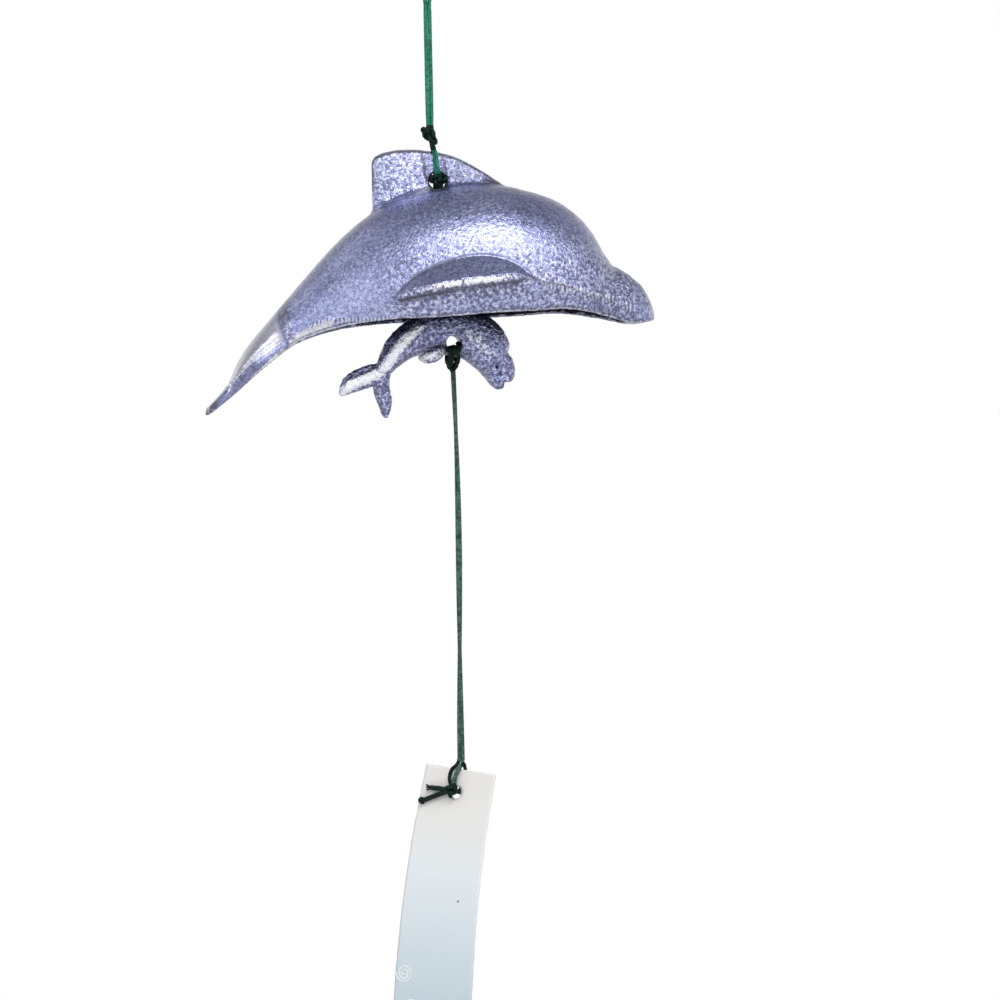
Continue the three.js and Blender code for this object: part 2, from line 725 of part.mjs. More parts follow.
place(stripX, 0, [
  meshOf("strip_cord", bar(at(0, 0, stripCordTop), at(0, 0, stripCordFoot), pairedCord, 8), greenCord),
]);
place(stripX, stripTop, [
  meshOf("strip_knot", stripKnot(), darkCord),
  meshOf("paper_strip", paperStrip(), paper),
]);

export default chime;
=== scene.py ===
import math
from types import SimpleNamespace

import bmesh
import bpy
from mathutils import Matrix, Vector, noise
from mathutils.bvhtree import BVHTree
from mathutils.kdtree import KDTree


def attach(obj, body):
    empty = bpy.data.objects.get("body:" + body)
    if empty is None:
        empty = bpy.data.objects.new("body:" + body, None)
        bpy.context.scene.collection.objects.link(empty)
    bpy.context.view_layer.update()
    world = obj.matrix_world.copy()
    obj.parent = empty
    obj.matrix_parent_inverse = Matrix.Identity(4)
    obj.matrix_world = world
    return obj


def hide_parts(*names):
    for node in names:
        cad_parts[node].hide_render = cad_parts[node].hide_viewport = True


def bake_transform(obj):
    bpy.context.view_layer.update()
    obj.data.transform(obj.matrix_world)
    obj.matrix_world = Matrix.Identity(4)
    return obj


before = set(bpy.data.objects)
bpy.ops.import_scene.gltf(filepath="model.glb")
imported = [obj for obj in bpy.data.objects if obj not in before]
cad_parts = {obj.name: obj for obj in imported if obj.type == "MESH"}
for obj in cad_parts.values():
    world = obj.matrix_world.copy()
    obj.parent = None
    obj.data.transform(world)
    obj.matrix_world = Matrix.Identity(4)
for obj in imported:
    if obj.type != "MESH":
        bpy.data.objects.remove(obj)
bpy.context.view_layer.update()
mm = 0.001
print("frame loaded:", len(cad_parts), "nodes")


def place(x, y, z):
    return Vector((x, y, z)) * mm


# A smooth line through points (x, z), read at x
def lineAt(points, x):
    if x <= points[0][0]:
        return points[0][1]
    if x >= points[-1][0]:
        return points[-1][1]
    i = next(k for k in range(1, len(points)) if x <= points[k][0])
    before, low = points[max(i - 2, 0)], points[i - 1]
    high, after = points[i], points[min(i + 1, len(points) - 1)]
    span = high[0] - low[0]
    slopeLow = (high[1] - before[1]) / (high[0] - before[0]) * span
    slopeHigh = (after[1] - low[1]) / (after[0] - low[0]) * span
    t = (x - low[0]) / span
    return (low[1] * (2 * t ** 3 - 3 * t * t + 1) + slopeLow * (t ** 3 - 2 * t * t + t)
            + high[1] * (3 * t * t - 2 * t ** 3) + slopeHigh * (t ** 3 - t * t))


# 0 outside, 1 inside, soft over the given edge
def between(value, low, high, edge):
    return min(max((value - low) / edge, 0), 1) * min(max((high - value) / edge, 0), 1)


# Where the cords cross or enter the castings, in millimetres, as in the part's source
spots = {
    "finHole": (1.6, -55.7),     # cord in the hole through the bell's fin
    "crownBore": (2.6, -61.26),  # where the clapper's cord comes out of the bell's ceiling
    "calfFin": (2.6, -86.5),     # cord in the calf's fin
    "calfHole": (4.7, -100.28),  # cord in the calf's cross hole
    "stripTop": (4.7, -210.0),   # middle of the strip's top edge
}


# Camera and light

cameraSettings = {
    "target": place(16.24, 0, -140.26),  # shown at the picture's middle
    "distance": 1.4,
    "yaw": 4.5,    # degrees round from square on
    "roll": 1.2,   # degrees that the plumb line leans to the right going down
    "lens": 193.86,
}


def makeCamera(settings):
    yaw = math.radians(settings["yaw"])
    roll = math.radians(settings["roll"])
    forward = Vector((math.sin(yaw), math.cos(yaw), 0))
    level = Vector((math.cos(yaw), -math.sin(yaw), 0))
    upright = Vector((0, 0, 1))
    right = level * math.cos(roll) - upright * math.sin(roll)
    up = level * math.sin(roll) + upright * math.cos(roll)
    data = bpy.data.cameras.new("camera")
    data.sensor_width = 36
    data.lens = settings["lens"]
    data.clip_start = 0.05
    data.clip_end = 50
    camera = bpy.data.objects.new("camera", data)
    turn = Matrix((right, up, -forward)).transposed().to_4x4()
    camera.matrix_world = Matrix.Translation(settings["target"] - forward * settings["distance"]) @ turn
    bpy.context.scene.collection.objects.link(camera)
    bpy.context.scene.camera = camera


makeCamera(cameraSettings)

lightSettings = {
    "world": 0.48,      # level that lights the object
    "ceiling": 0.33,    # level that shiny surfaces see overhead
    "walls": 1.05,      # level that they see around them
    "key": {"aim": (12, 34), "distance": 1.15, "size": (1.4, 0.72), "radiance": 1.75},
    "band": {"aim": (12, 46), "distance": 1.15, "size": (0.9, 0.24), "radiance": 8.0},
    "left": {"aim": (-52, 22), "distance": 1.15, "size": (0.8, 0.8), "radiance": 0.5},
    "rim": {"aim": (-105, 42), "distance": 1.1, "size": (0.5, 0.4), "radiance": 1.0},
}


def makeLight(name, settings, middle):
    round, up = (math.radians(angle) for angle in settings["aim"])
    away = Vector((math.sin(round) * math.cos(up), -math.cos(round) * math.cos(up), math.sin(up)))
    data = bpy.data.lights.new(name, "AREA")
    data.shape = "RECTANGLE"
    data.size, data.size_y = settings["size"]
    data.energy = settings["radiance"] * math.pi * data.size * data.size_y
    light = bpy.data.objects.new(name, data)
    light.location = middle + away * settings["distance"]
    light.rotation_mode = "QUATERNION"
    light.rotation_quaternion = (-away).to_track_quat("-Z", "Y")
    bpy.context.scene.collection.objects.link(light)


for lightName in ("key", "band", "left", "rim"):
    makeLight(lightName, lightSettings[lightName], place(0, 0, -90))


# A finished mesh becomes a piece in the scene
def pieceFrom(shape, name, material=None):
    mesh = bpy.data.meshes.new(name)
    shape.to_mesh(mesh)
    shape.free()
    if material:
        mesh.materials.append(material)
    piece = bpy.data.objects.new(name, mesh)
    bpy.context.scene.collection.objects.link(piece)
    return piece


# It rides on a body and stands for the CAD nodes named, which are hidden
def settle(piece, body, slot, *nodes):
    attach(piece, body)
    if nodes:
        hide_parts(*nodes)


# Node helpers: a socket is filled by a number, a colour or another node's output

def addNode(tree, kind, settings=None, **sockets):
    made = tree.nodes.new("ShaderNode" + kind)
    for key, value in (settings or {}).items():
        setattr(made, key, value)
    for key, value in sockets.items():
        socket = made.inputs[int(key[2:])] if key.startswith("in") and key[2:].isdigit() else made.inputs[key]
        if isinstance(value, bpy.types.NodeSocket):
            tree.links.new(value, socket)
        else:
            socket.default_value = value
    return made


def mathNode(tree, operation, first, second=0.0):
    return addNode(tree, "Math", {"operation": operation}, in0=first, in1=second).outputs[0]


def rampNode(tree, value, stops):
    ramp = addNode(tree, "ValToRGB", in0=value)
    elements = ramp.color_ramp.elements
    while len(elements) < len(stops):
        elements.new(0.5)
    for element, (spot, colour) in zip(elements, stops):
        element.position = spot
        element.color = (*colour, 1)
    return ramp.outputs[0]


def mixColour(tree, factor, first, second, blend="MIX"):
    mix = addNode(tree, "Mix", {"data_type": "RGBA", "blend_type": blend})
    for socket, value in ((mix.inputs[0], factor), (mix.inputs[6], first), (mix.inputs[7], second)):
        if isinstance(value, bpy.types.NodeSocket):
            tree.links.new(value, socket)
        else:
            socket.default_value = (*value, 1) if isinstance(value, tuple) and len(value) == 3 else value
    return mix.outputs[2]


def startMaterial(name):
    material = bpy.data.materials.new(name)
    material.use_nodes = True
    tree = material.node_tree
    tree.nodes.clear()
    shader = addNode(tree, "BsdfPrincipled")
    output = addNode(tree, "OutputMaterial")
    tree.links.new(shader.outputs[0], output.inputs[0])
    return material, tree, shader


# Backdrop: the eye sees a white room, shiny surfaces see its walls white and its ceiling grey

stageSettings = {
    "floorHeight": -0.40,
    "floorSize": 1.15,
    "floorColour": (0.86, 0.86, 0.87),
    "floorWhite": 0.72,
}


def makeWorld(settings):
    world = bpy.data.worlds.new("studio")
    world.use_nodes = True
    tree = world.node_tree
    tree.nodes.clear()
    path = addNode(tree, "LightPath")
    height = addNode(tree, "SeparateXYZ", in0=addNode(tree, "TexCoord").outputs["Generated"]).outputs[2]
    overhead = addNode(tree, "MapRange", in0=height, in1=0.12, in2=0.6,
                       in3=settings["walls"], in4=settings["ceiling"])
    level = addNode(tree, "MapRange", in0=path.outputs["Is Glossy Ray"],
                    in3=settings["world"], in4=overhead.outputs[0])
    seen = mathNode(tree, "MAXIMUM", path.outputs["Is Camera Ray"], path.outputs["Is Transmission Ray"])
    white = addNode(tree, "MapRange", in0=seen, in3=level.outputs[0], in4=1.0)
    sky = addNode(tree, "Background", Color=(1, 1, 1, 1), Strength=white.outputs[0])
    output = addNode(tree, "OutputWorld")
    tree.links.new(sky.outputs[0], output.inputs[0])
    bpy.context.scene.world = world


def makeFloor(settings):
    shape = bmesh.new()
    bmesh.ops.create_circle(shape, cap_ends=True, segments=64, radius=settings["floorSize"])
    bmesh.ops.translate(shape, verts=shape.verts, vec=(0, 0, settings["floorHeight"]))
    material, tree, shader = startMaterial("paleFloor")
    shader.inputs["Base Color"].default_value = (*settings["floorColour"], 1)
    shader.inputs["Roughness"].default_value = 0.9
    shader.inputs["Emission Color"].default_value = (1, 1, 1, 1)
    eye = addNode(tree, "LightPath").outputs["Is Camera Ray"]
    glow = mathNode(tree, "MULTIPLY", eye, settings["floorWhite"])
    tree.links.new(glow, shader.inputs["Emission Strength"])
    pieceFrom(shape, "floor", material)


makeWorld(lightSettings)
makeFloor(stageSettings)
bpy.context.scene.view_settings.view_transform = "Standard"
print("camera, lights and backdrop made")


# Cord: lobed strands that twist along a route

cordSettings = {
    "diameter": 1.15,
    "plies": 3,
    "plyDepth": 0.11,   # how far the plies stand out, in radii
    "layLength": 2.3,   # one turn of the plies
    "step": 0.26,
    "ends": (0.62, 0.9),
}


# Points about a step apart on a smooth curve through the given ones
def smoothRoute(points, step):
    line = [Vector(p) for p in points]
    line = [line[0] * 2 - line[1]] + line + [line[-1] * 2 - line[-2]]
    route = []
    for a, b, c, d in zip(line, line[1:], line[2:], line[3:]):
        knots = [0.0]
        for p, q in ((a, b), (b, c), (c, d)):
            knots.append(knots[-1] + max((q - p).length, 1e-6) ** 0.5)
        count = max(2, math.ceil((c - b).length / step))
        for i in range(count):
            t = knots[1] + (knots[2] - knots[1]) * i / count
            ab = a.lerp(b, (t - knots[0]) / (knots[1] - knots[0]))
            bc = b.lerp(c, (t - knots[1]) / (knots[2] - knots[1]))
            cd = c.lerp(d, (t - knots[2]) / (knots[3] - knots[2]))
            abc = ab.lerp(bc, (t - knots[0]) / (knots[2] - knots[0]))
            bcd = bc.lerp(cd, (t - knots[1]) / (knots[3] - knots[1]))
            route.append(abc.lerp(bcd, (t - knots[1]) / (knots[2] - knots[1])))
    route.append(line[-2])
    return route


# A round section with one lobe for each ply
def makeProfile(diameter, settings):
    profile = bpy.data.curves.new("plies", "CURVE")
    profile.dimensions = "2D"
    spline = profile.splines.new("POLY")
    count = 4 * settings["plies"]
    spline.points.add(count - 1)
    for i, point in enumerate(spline.points):
        angle = 2 * math.pi * i / count
        lobe = 1 - settings["plyDepth"] * (1 - math.cos(settings["plies"] * angle)) / 2
        reach = diameter / 2 * lobe * mm
        point.co = (reach * math.cos(angle), reach * math.sin(angle), 0, 1)
    spline.use_cyclic_u = True
    return bpy.data.objects.new("plies", profile)


def strandMesh(points, diameter, turned=0.0, taper=1.0, settings=cordSettings):
    route = smoothRoute(points, settings["step"])
    curve = bpy.data.curves.new("strand", "CURVE")
    curve.dimensions = "3D"
    spline = curve.splines.new("POLY")
    spline.points.add(len(route) - 1)
    travelled = 0.0
    for i, (point, spot) in enumerate(zip(spline.points, route)):
        travelled += (spot - route[i - 1]).length if i else 0.0
        point.co = (*(spot * mm), 1)
        point.tilt = turned + 2 * math.pi * travelled / settings["layLength"]
        fromEnd = min(i, len(route) - 1 - i)
        size = taper + (1 - taper) * i / (len(route) - 1)
        point.radius = (*settings["ends"], 1.0)[min(fromEnd, 2)] * size
    profile = makeProfile(diameter, settings)
    curve.bevel_mode = "OBJECT"
    curve.bevel_object = profile
    curve.use_fill_caps = True
    strand = bpy.data.objects.new("strand", curve)
    bpy.context.scene.collection.objects.link(strand)
    mesh = bpy.data.meshes.new_from_object(strand.evaluated_get(bpy.context.evaluated_depsgraph_get()))
    bpy.data.objects.remove(strand)
    bpy.data.objects.remove(profile)
    return mesh, [spot * mm for spot in route]


def joinMeshes(name, meshes, material):
    whole = bmesh.new()
    for mesh in meshes:
        whole.from_mesh(mesh)
    bmesh.ops.remove_doubles(whole, verts=whole.verts, dist=1e-6)
    bmesh.ops.recalc_face_normals(whole, faces=whole.faces)
    for face in whole.faces:
        face.smooth = True
    return pieceFrom(whole, name, material)


def makeStrands(name, routes, diameter, material, taper=1.0):
    strands = [strandMesh(route, diameter, turned=i, taper=taper)[0] for i, route in enumerate(routes)]
    return joinMeshes(name, strands, material)


# An overhand knot: a closed trefoil, its ends run into each other
def knotRoute(middle, wide, tall, deep, count=42):
    wide, tall, deep = Vector(wide), Vector(tall), Vector(deep)
    route = []
    for i in range(count + 2):
        t = 2 * math.pi * i / count + 0.5
        across = (math.sin(t) + 2 * math.sin(2 * t)) / 3
        along = (math.cos(t) - 2 * math.cos(2 * t)) / 3
        route.append(Vector(middle) + wide * across + tall * along - deep * math.sin(3 * t))
    return route


hangingLook = {
    "bright": (0.012, 0.270, 0.170),
    "dark": (0.002, 0.075, 0.047),
    "fibre": 9000,    # fibres to the metre
    "roughness": 0.6,
    "sheen": 0.04,
    "gloss": 1.4,
}
stripCordLook = {
    "bright": (0.070, 0.170, 0.130),
    "dark": (0.003, 0.020, 0.015),
    "fibre": 9000,
    "roughness": 0.62,
    "sheen": 0.06,
    "gloss": 1.4,
}
# The cords' green, painted far darker where they are knotted, as the shade among the knots' turns
shadedKnotLook = {
    "bright": (0.003, 0.026, 0.018),
    "dark": (0.0003, 0.002, 0.002),
    "fibre": 9000,
    "roughness": 0.42,
    "sheen": 0.0,
    "gloss": 1.25,
}


def cordMaterial(name, look):
    material, tree, shader = startMaterial(name)
    place3d = addNode(tree, "TexCoord").outputs["Object"]
    fibre = addNode(tree, "TexNoise", Vector=place3d, Scale=look["fibre"], Detail=3.0, Roughness=0.6).outputs[0]
    patch = addNode(tree, "TexNoise", Vector=place3d, Scale=1100.0, Detail=2.0).outputs[0]
    shade = mathNode(tree, "MULTIPLY", mathNode(tree, "ADD", fibre, patch), 0.55)
    colour = rampNode(tree, shade, [(0.45, look["dark"]), (0.63, look["bright"])])
    bump = addNode(tree, "Bump", Strength=0.6, Distance=0.00009, Height=fibre)
    smooth, dull = look["roughness"] - 0.1, look["roughness"] + 0.1
    rough = addNode(tree, "MapRange", in0=patch, in3=smooth, in4=dull).outputs[0]
    tree.links.new(colour, shader.inputs["Base Color"])
    tree.links.new(rough, shader.inputs["Roughness"])
    tree.links.new(bump.outputs[0], shader.inputs["Normal"])
    shader.inputs["Sheen Weight"].default_value = look["sheen"]
    shader.inputs["Sheen Roughness"].default_value = 0.5
    shader.inputs["IOR"].default_value = look["gloss"]
    return material


hangingGreen = cordMaterial("hangingGreen", hangingLook)
agedGreen = cordMaterial("agedGreen", stripCordLook)
shadedKnotGreen = cordMaterial("shadedKnotGreen", shadedKnotLook)


# Hanging cord: doubled, from the hook's loop down to its knot above the fin

hangingCordSettings = {
    "half": [  # one strand from the loop's top down, turned half round for the other
        (0, 0, 0.575), (1.63, 0, -1.0), (2.62, 0, -3.4), (2.1, 0, -6.0),
        (1.0, 0.05, -8.4), (0.54, 0.08, -10.4),
        (0.53, 0.1, -14), (0.54, 0.05, -19), (0.53, 0.12, -25), (0.54, 0.1, -31), (0.53, 0.15, -36),
        (0.5, 0.25, -40), (0.42, 0.3, -43.0),
    ],
}


def makeHangingCord(settings):
    half = settings["half"]
    other = [(-x, -y, z) for x, y, z in half[1:]]
    route = list(reversed(half)) + other
    mesh, path = strandMesh(route, cordSettings["diameter"])
    piece = joinMeshes("hangingCord", [mesh], hangingGreen)
    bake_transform(piece)
    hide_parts("hanging_cord")


makeHangingCord(hangingCordSettings)

# Knot over the fin: an overhand knot in the doubled cord, at a slant, then the neck that runs to the fin

knotSettings = {
    "middle": (0.05, 0, -45.3),
    "slant": 35,      # degrees from upright, its top to the left
    "wide": 1.3,
    "tall": 2.25,
    "deep": 0.66,
    "cord": 1.2,
}


def makeHangingKnot(settings):
    slant = math.radians(settings["slant"])
    axis = Vector((-math.sin(slant), 0, math.cos(slant)))
    side = Vector((math.cos(slant), 0, math.sin(slant)))
    middle = Vector(settings["middle"])
    knot = knotRoute(middle, side * settings["wide"], axis * settings["tall"], (0, settings["deep"], 0))
    fold = [middle + side * a + axis * b + Vector((0, c, 0)) for a, b, c in (
        (0.6, 1.0, -0.3), (0.1, 1.9, -0.7), (-0.5, 2.55, -0.3), (-0.75, 2.2, 0.4), (-0.4, 1.3, 0.6))]
    entry = [(0.42, 0.3, -42.4), (0.5, 0.1, -43.4), (0.3, -0.1, -44.4)]
    second = [(-0.42, -0.3, -42.4), (-0.5, -0.4, -43.2), (-0.3, -0.5, -44.2)]
    neck = [(0.3, -0.1, -46.2), (0.6, -0.3, -47.2), (0.7, -0.9, -48.1), (0.85, -1.8, -48.9), (1.0, -2.5, -50.0)]
    rear = [(0.1, 0.3, -46.2), (0.35, 0.5, -47.2), (0.5, 1.0, -48.1), (0.8, 1.8, -48.9), (1.0, 2.5, -50.0)]
    return [knot, fold, entry, second, neck, rear]


# Fin cord: down the grooves on both sides of the fin and into the cross hole

finCordSettings = {"strand": 0.98, "apart": 0.26}


def makeFinCord(settings):
    x, z = spots["finHole"]
    near = []
    for side in (-1, 1):
        shift = settings["apart"] * side
        near.append([
            (0.95 + shift, -2.35, -49.3), (1.1 + shift, -2.55 - 0.3 * side, -50.8),
            (1.25 + shift, -2.6 - 0.3 * side, -52.6), (1.4 + shift, -2.55 - 0.3 * side, -54.2),
            (1.5 + shift, -2.1, -55.3), (x + shift, -0.8, z),
        ])
    return near + [[(px, -py, pz) for px, py, pz in route] for route in near]


# Short turns of cord in the cross hole, from its middle: across, out, up
holeBights = [
    [(-1.5, 0.8, 0.1), (-1.8, 1.7, -0.7), (-1.2, 2.1, -1.7)],
    [(-0.9, 1.2, -2.6), (0.2, 1.7, -3.0), (1.4, 1.5, -2.5)],
    [(0.1, 2.6, -2.0), (0.5, 3.05, -1.0), (0.8, 2.4, 0.2)],
    [(1.5, 0.6, -0.3), (1.9, 1.6, -1.0), (1.6, 2.0, -2.0)],
]


# Knots that fill the cross hole from both sides
def holeKnots():
    x, z = spots["finHole"]
    routes = []
    for side in (-1, 1):
        routes.append(knotRoute((x + 0.3, side * 2.2, z - 1.1), (2.1, 0, 0.1), (0, 0, 1.3), (0, 0.62, 0)))
        for bight in holeBights:
            routes.append([(x + px, side * py, z + pz) for px, py, pz in bight])
        arc = [-0.3 + 0.6 * i for i in range(7)]
        routes.append([(x + 1.7 * math.cos(turn), side * 0.7, z - 1.7 * math.sin(turn)) for turn in arc])
    return routes


finCord = makeStrands("finCord", makeFinCord(finCordSettings), finCordSettings["strand"], hangingGreen)
settle(finCord, "hanger_loop", "cord_green", "fin_loop")
hangingKnot = makeStrands("hangingKnot", makeHangingKnot(knotSettings), knotSettings["cord"], shadedKnotGreen)
settle(hangingKnot, "hanger_loop", "cord_dark", "hanging_knot")
print("knot and fin cord made")

# Clapper cord: knotted in the fin's hole, down its bore and to the calf's fin

clapperCordSettings = {"strand": 1.15, "knotCord": 1.05, "joint": -64.86, "foot": -80.15}


def makeClapperCord(settings):
    x, ceiling = spots["crownBore"]
    joint, foot = settings["joint"], settings["foot"]
    inBore = [(x, 0, -57.6), (x, 0, ceiling - 0.1)]
    crown = makeStrands("crownKnot", holeKnots() + [inBore], settings["knotCord"], shadedKnotGreen)
    settle(crown, "bell", "cord_dark", "crown_knot")
    upper = [(x, 0, ceiling - 0.25), (x, 0, -63), (x, 0, joint)]
    top = makeStrands("clapperCordTop", [upper], settings["strand"], agedGreen)
    settle(top, "clapper_link", "cord_green", "clapper_cord_top")
    lower = [(x, 0, joint), (x, 0, -70), (x, 0, -76), (x, 0, foot)]
    low = makeStrands("clapperCord", [lower], settings["strand"], agedGreen)
    settle(low, "clapper_line", "cord_green", "clapper_cord")
    z = spots["calfFin"][1]
    half = [(0, 0), (0.9, 0), (1.95, 0.45), (2.25, 1.3), (2.0, 2.7), (1.1, 4.0), (0.4, 4.9)]
    loop = [(x, -out, z + up) for out, up in reversed(half)] + [(x, out, z + up) for out, up in half[1:]]
    knot = knotRoute((x, 0, z + 4.7), (0, 1.1, 0), (0, 0, 0.95), (0.5, 0, 0))
    stub = [(x, 0, z + 4.6), (x, 0, z + 5.4), (x, 0, z + 6.4)]
    hitch = makeStrands("clapperHitch", [loop, knot, stub], settings["knotCord"], shadedKnotGreen)
    settle(hitch, "calf", "cord_dark", "clapper_hitch")


makeClapperCord(clapperCordSettings)

# Strip cord: hitched through the calf, then two thin strands down to the paper

stripCordSettings = {
    "hitchCord": 1.1,
    "strand": 1.15,
    "taper": 1.0,           # size at the top, as a share of the foot's
    "bow": 0.6,            # how far it bends to the right, most in its upper half
    "top": -106.2,
    "foot": -207.9,
    "apart": (0.2, 0.44),  # from the middle line, at the top and at the foot
    "twist": 0.9,           # turns from top to foot
}


# From the calf's hole and down its front: the hitch's left, middle and right strands, then the one round them
hitchRoutes = [
    [(-0.4, 0, -0.2), (-0.6, -3.2, -0.2), (-0.7, -5.3, -0.4), (-0.8, -5.8, -1.2),
     (-1.1, -5.3, -2.4), (-1.2, -3.4, -3.9), (-0.8, -1.3, -5.1)],
    [(0, 0, 0), (-0.05, -3.4, 0), (0, -5.5, -0.2), (0, -6.0, -1.2),
     (-0.35, -5.5, -2.4), (-0.5, -3.6, -3.7), (-0.3, -1.5, -4.8)],
    [(0.5, 0, -0.1), (0.65, -3.2, -0.1), (0.7, -5.3, -0.3), (0.8, -5.8, -1.1),
     (1.1, -5.2, -2.3), (1.15, -3.3, -3.8), (0.6, -1.3, -5.0)],
    [(1.3, 0, 0.9), (1.35, -2.4, 0.9), (1.35, -4.2, 0.5), (1.0, -5.1, -0.7), (0.4, -5.9, -1.9)],
]


def makeStripHitch(settings):
    x, z = spots["calfHole"]
    left, middle, right, wrap = ([(x + px, py, z + pz) for px, py, pz in route] for route in hitchRoutes)
    rear = [[(2 * x - px - 0.1, -py, pz) for px, py, pz in route] for route in (left, right)]
    knot = knotRoute((x - 0.1, 0, z - 5.2), (1.1, 0, 0), (0, 0, 0.95), (0, 0.75, 0))
    routes = [left, middle, right, wrap, *rear, knot]
    hitch = makeStrands("stripHitch", routes, settings["hitchCord"], shadedKnotGreen)
    settle(hitch, "strip_link", "cord_dark", "strip_hitch")


def makeStripCord(settings):
    x = spots["calfHole"][0]
    top, foot = settings["top"], settings["foot"]
    narrow, wide = settings["apart"]
    routes = []
    count = 26
    for side in (-1, 1):
        route = []
        for i in range(count + 1):
            share = i / count
            turn = 2 * math.pi * settings["twist"] * (share - 1)
            apart = narrow + (wide - narrow) * share
            middle = x + settings["bow"] * math.sin(math.pi * share) * (1 - share) * 1.7
            route.append((middle + side * apart * math.cos(turn), side * apart * math.sin(turn),
                          top + (foot - top) * share))
        routes.append(route)
    piece = makeStrands("stripCord", routes, settings["strand"], agedGreen, taper=settings["taper"])
    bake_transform(piece)
    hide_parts("strip_cord")


makeStripHitch(stripCordSettings)
makeStripCord(stripCordSettings)
print("strip cord made")

# Paper strip: a punched sheet that curls and twists as it hangs

stripSettings = {
    "width": 24.0,
    "length": 135.0,
    "thickness": 0.3,
    "hole": 3.2,
    "holeBelow": 6.2,
    "turn": 44.5,
    "twist": 16.5,
    "tilt": 6.0,
    "lean": 13.0,
    "curl": 33.0,
    "cell": 0.6,
    "frayed": 0.12,   # unevenness of the cut edges
}


def stripSpine(settings, count=270):
    spine = []
    spot = Vector((0, 0, 0))
    step = settings["length"] / count
    tilt = math.radians(settings["tilt"])
    for i in range(count + 1):
        share = max(i - 0.5, 0) / count
        turn = math.radians(settings["turn"] - settings["twist"] * share)
        lean = math.radians(settings["lean"] - settings["curl"] * share)
        level = Vector((math.cos(turn), -math.sin(turn), 0))
        facing = Vector((-math.sin(turn), -math.cos(turn), 0))
        fall = Vector((0, 0, -math.cos(lean))) + facing * math.sin(lean)
        along = fall * math.cos(tilt) - level * math.sin(tilt)
        wide = level * math.cos(tilt) + fall * math.sin(tilt)
        if i:
            spot = spot + along * step
        spine.append((spot, along, wide, along.cross(wide)))
    return spine


spine = stripSpine(stripSettings)


def stripFrame(down):
    share = min(max(down / stripSettings["length"], 0), 1) * (len(spine) - 1)
    low = min(int(share), len(spine) - 2)
    spot, along, wide, front = (spine[low][k].lerp(spine[low + 1][k], share - low) for k in range(4))
    return (spot + along * min(down, 0), along, wide, front)


def stripPoint(across, down, out):
    x, z = spots["stripTop"]
    spot, along, wide, front = stripFrame(down)
    return Vector((x, 0, z)) + spot + wide * across + front * out


# The point over the strip that shows at (x, z) from the front, measured from the middle of its top edge
def overStrip(x, z, out):
    across, down = x, -z
    for _ in range(12):
        spot, along, wide, front = stripFrame(down)
        found = stripPoint(across, down, out) - Vector((spots["stripTop"][0], 0, spots["stripTop"][1]))
        dx, dz = x - found.x, z - found.z
        scale = wide.x * along.z - along.x * wide.z
        across += (dx * along.z - along.x * dz) / scale
        down += (wide.x * dz - dx * wide.z) / scale
    return stripPoint(across, down, out)


def paperMaterial():
    material, tree, shader = startMaterial("stripPaper")
    uv = addNode(tree, "UVMap", {"uv_map": "flat"}).outputs[0]
    down = addNode(tree, "SeparateXYZ", in0=uv).outputs[1]
    fade = rampNode(tree, down, [
        (0.0, (0.835, 0.815, 0.790)), (0.10, (0.835, 0.835, 0.815)), (0.2, (0.800, 0.850, 0.875)),
        (0.32, (0.690, 0.775, 0.825)), (0.45, (0.575, 0.685, 0.745)), (0.65, (0.47, 0.60, 0.68)),
        (1.0, (0.38, 0.53, 0.63)),
    ])
    fibre = addNode(tree, "TexNoise", Vector=uv, Scale=260.0, Detail=5.0, Roughness=0.65).outputs[0]
    fleck = addNode(tree, "TexNoise", Vector=uv, Scale=900.0, Detail=1.0).outputs[0]
    tone = rampNode(tree, fibre, [(0.3, (0.95, 0.95, 0.95)), (0.7, (1, 1, 1))])
    colour = mixColour(tree, 1.0, fade, tone, "MULTIPLY")
    flecked = rampNode(tree, fleck, [(0.76, (0, 0, 0)), (0.8, (0.35, 0.35, 0.35))])
    colour = mixColour(tree, flecked, colour, (0.45, 0.44, 0.42))
    tree.links.new(colour, shader.inputs["Base Color"])
    bump = addNode(tree, "Bump", Strength=0.2, Distance=0.00006, Height=fibre)
    tree.links.new(bump.outputs[0], shader.inputs["Normal"])
    rough = addNode(tree, "MapRange", in0=fibre, in3=0.7, in4=0.85).outputs[0]
    tree.links.new(rough, shader.inputs["Roughness"])
    return material


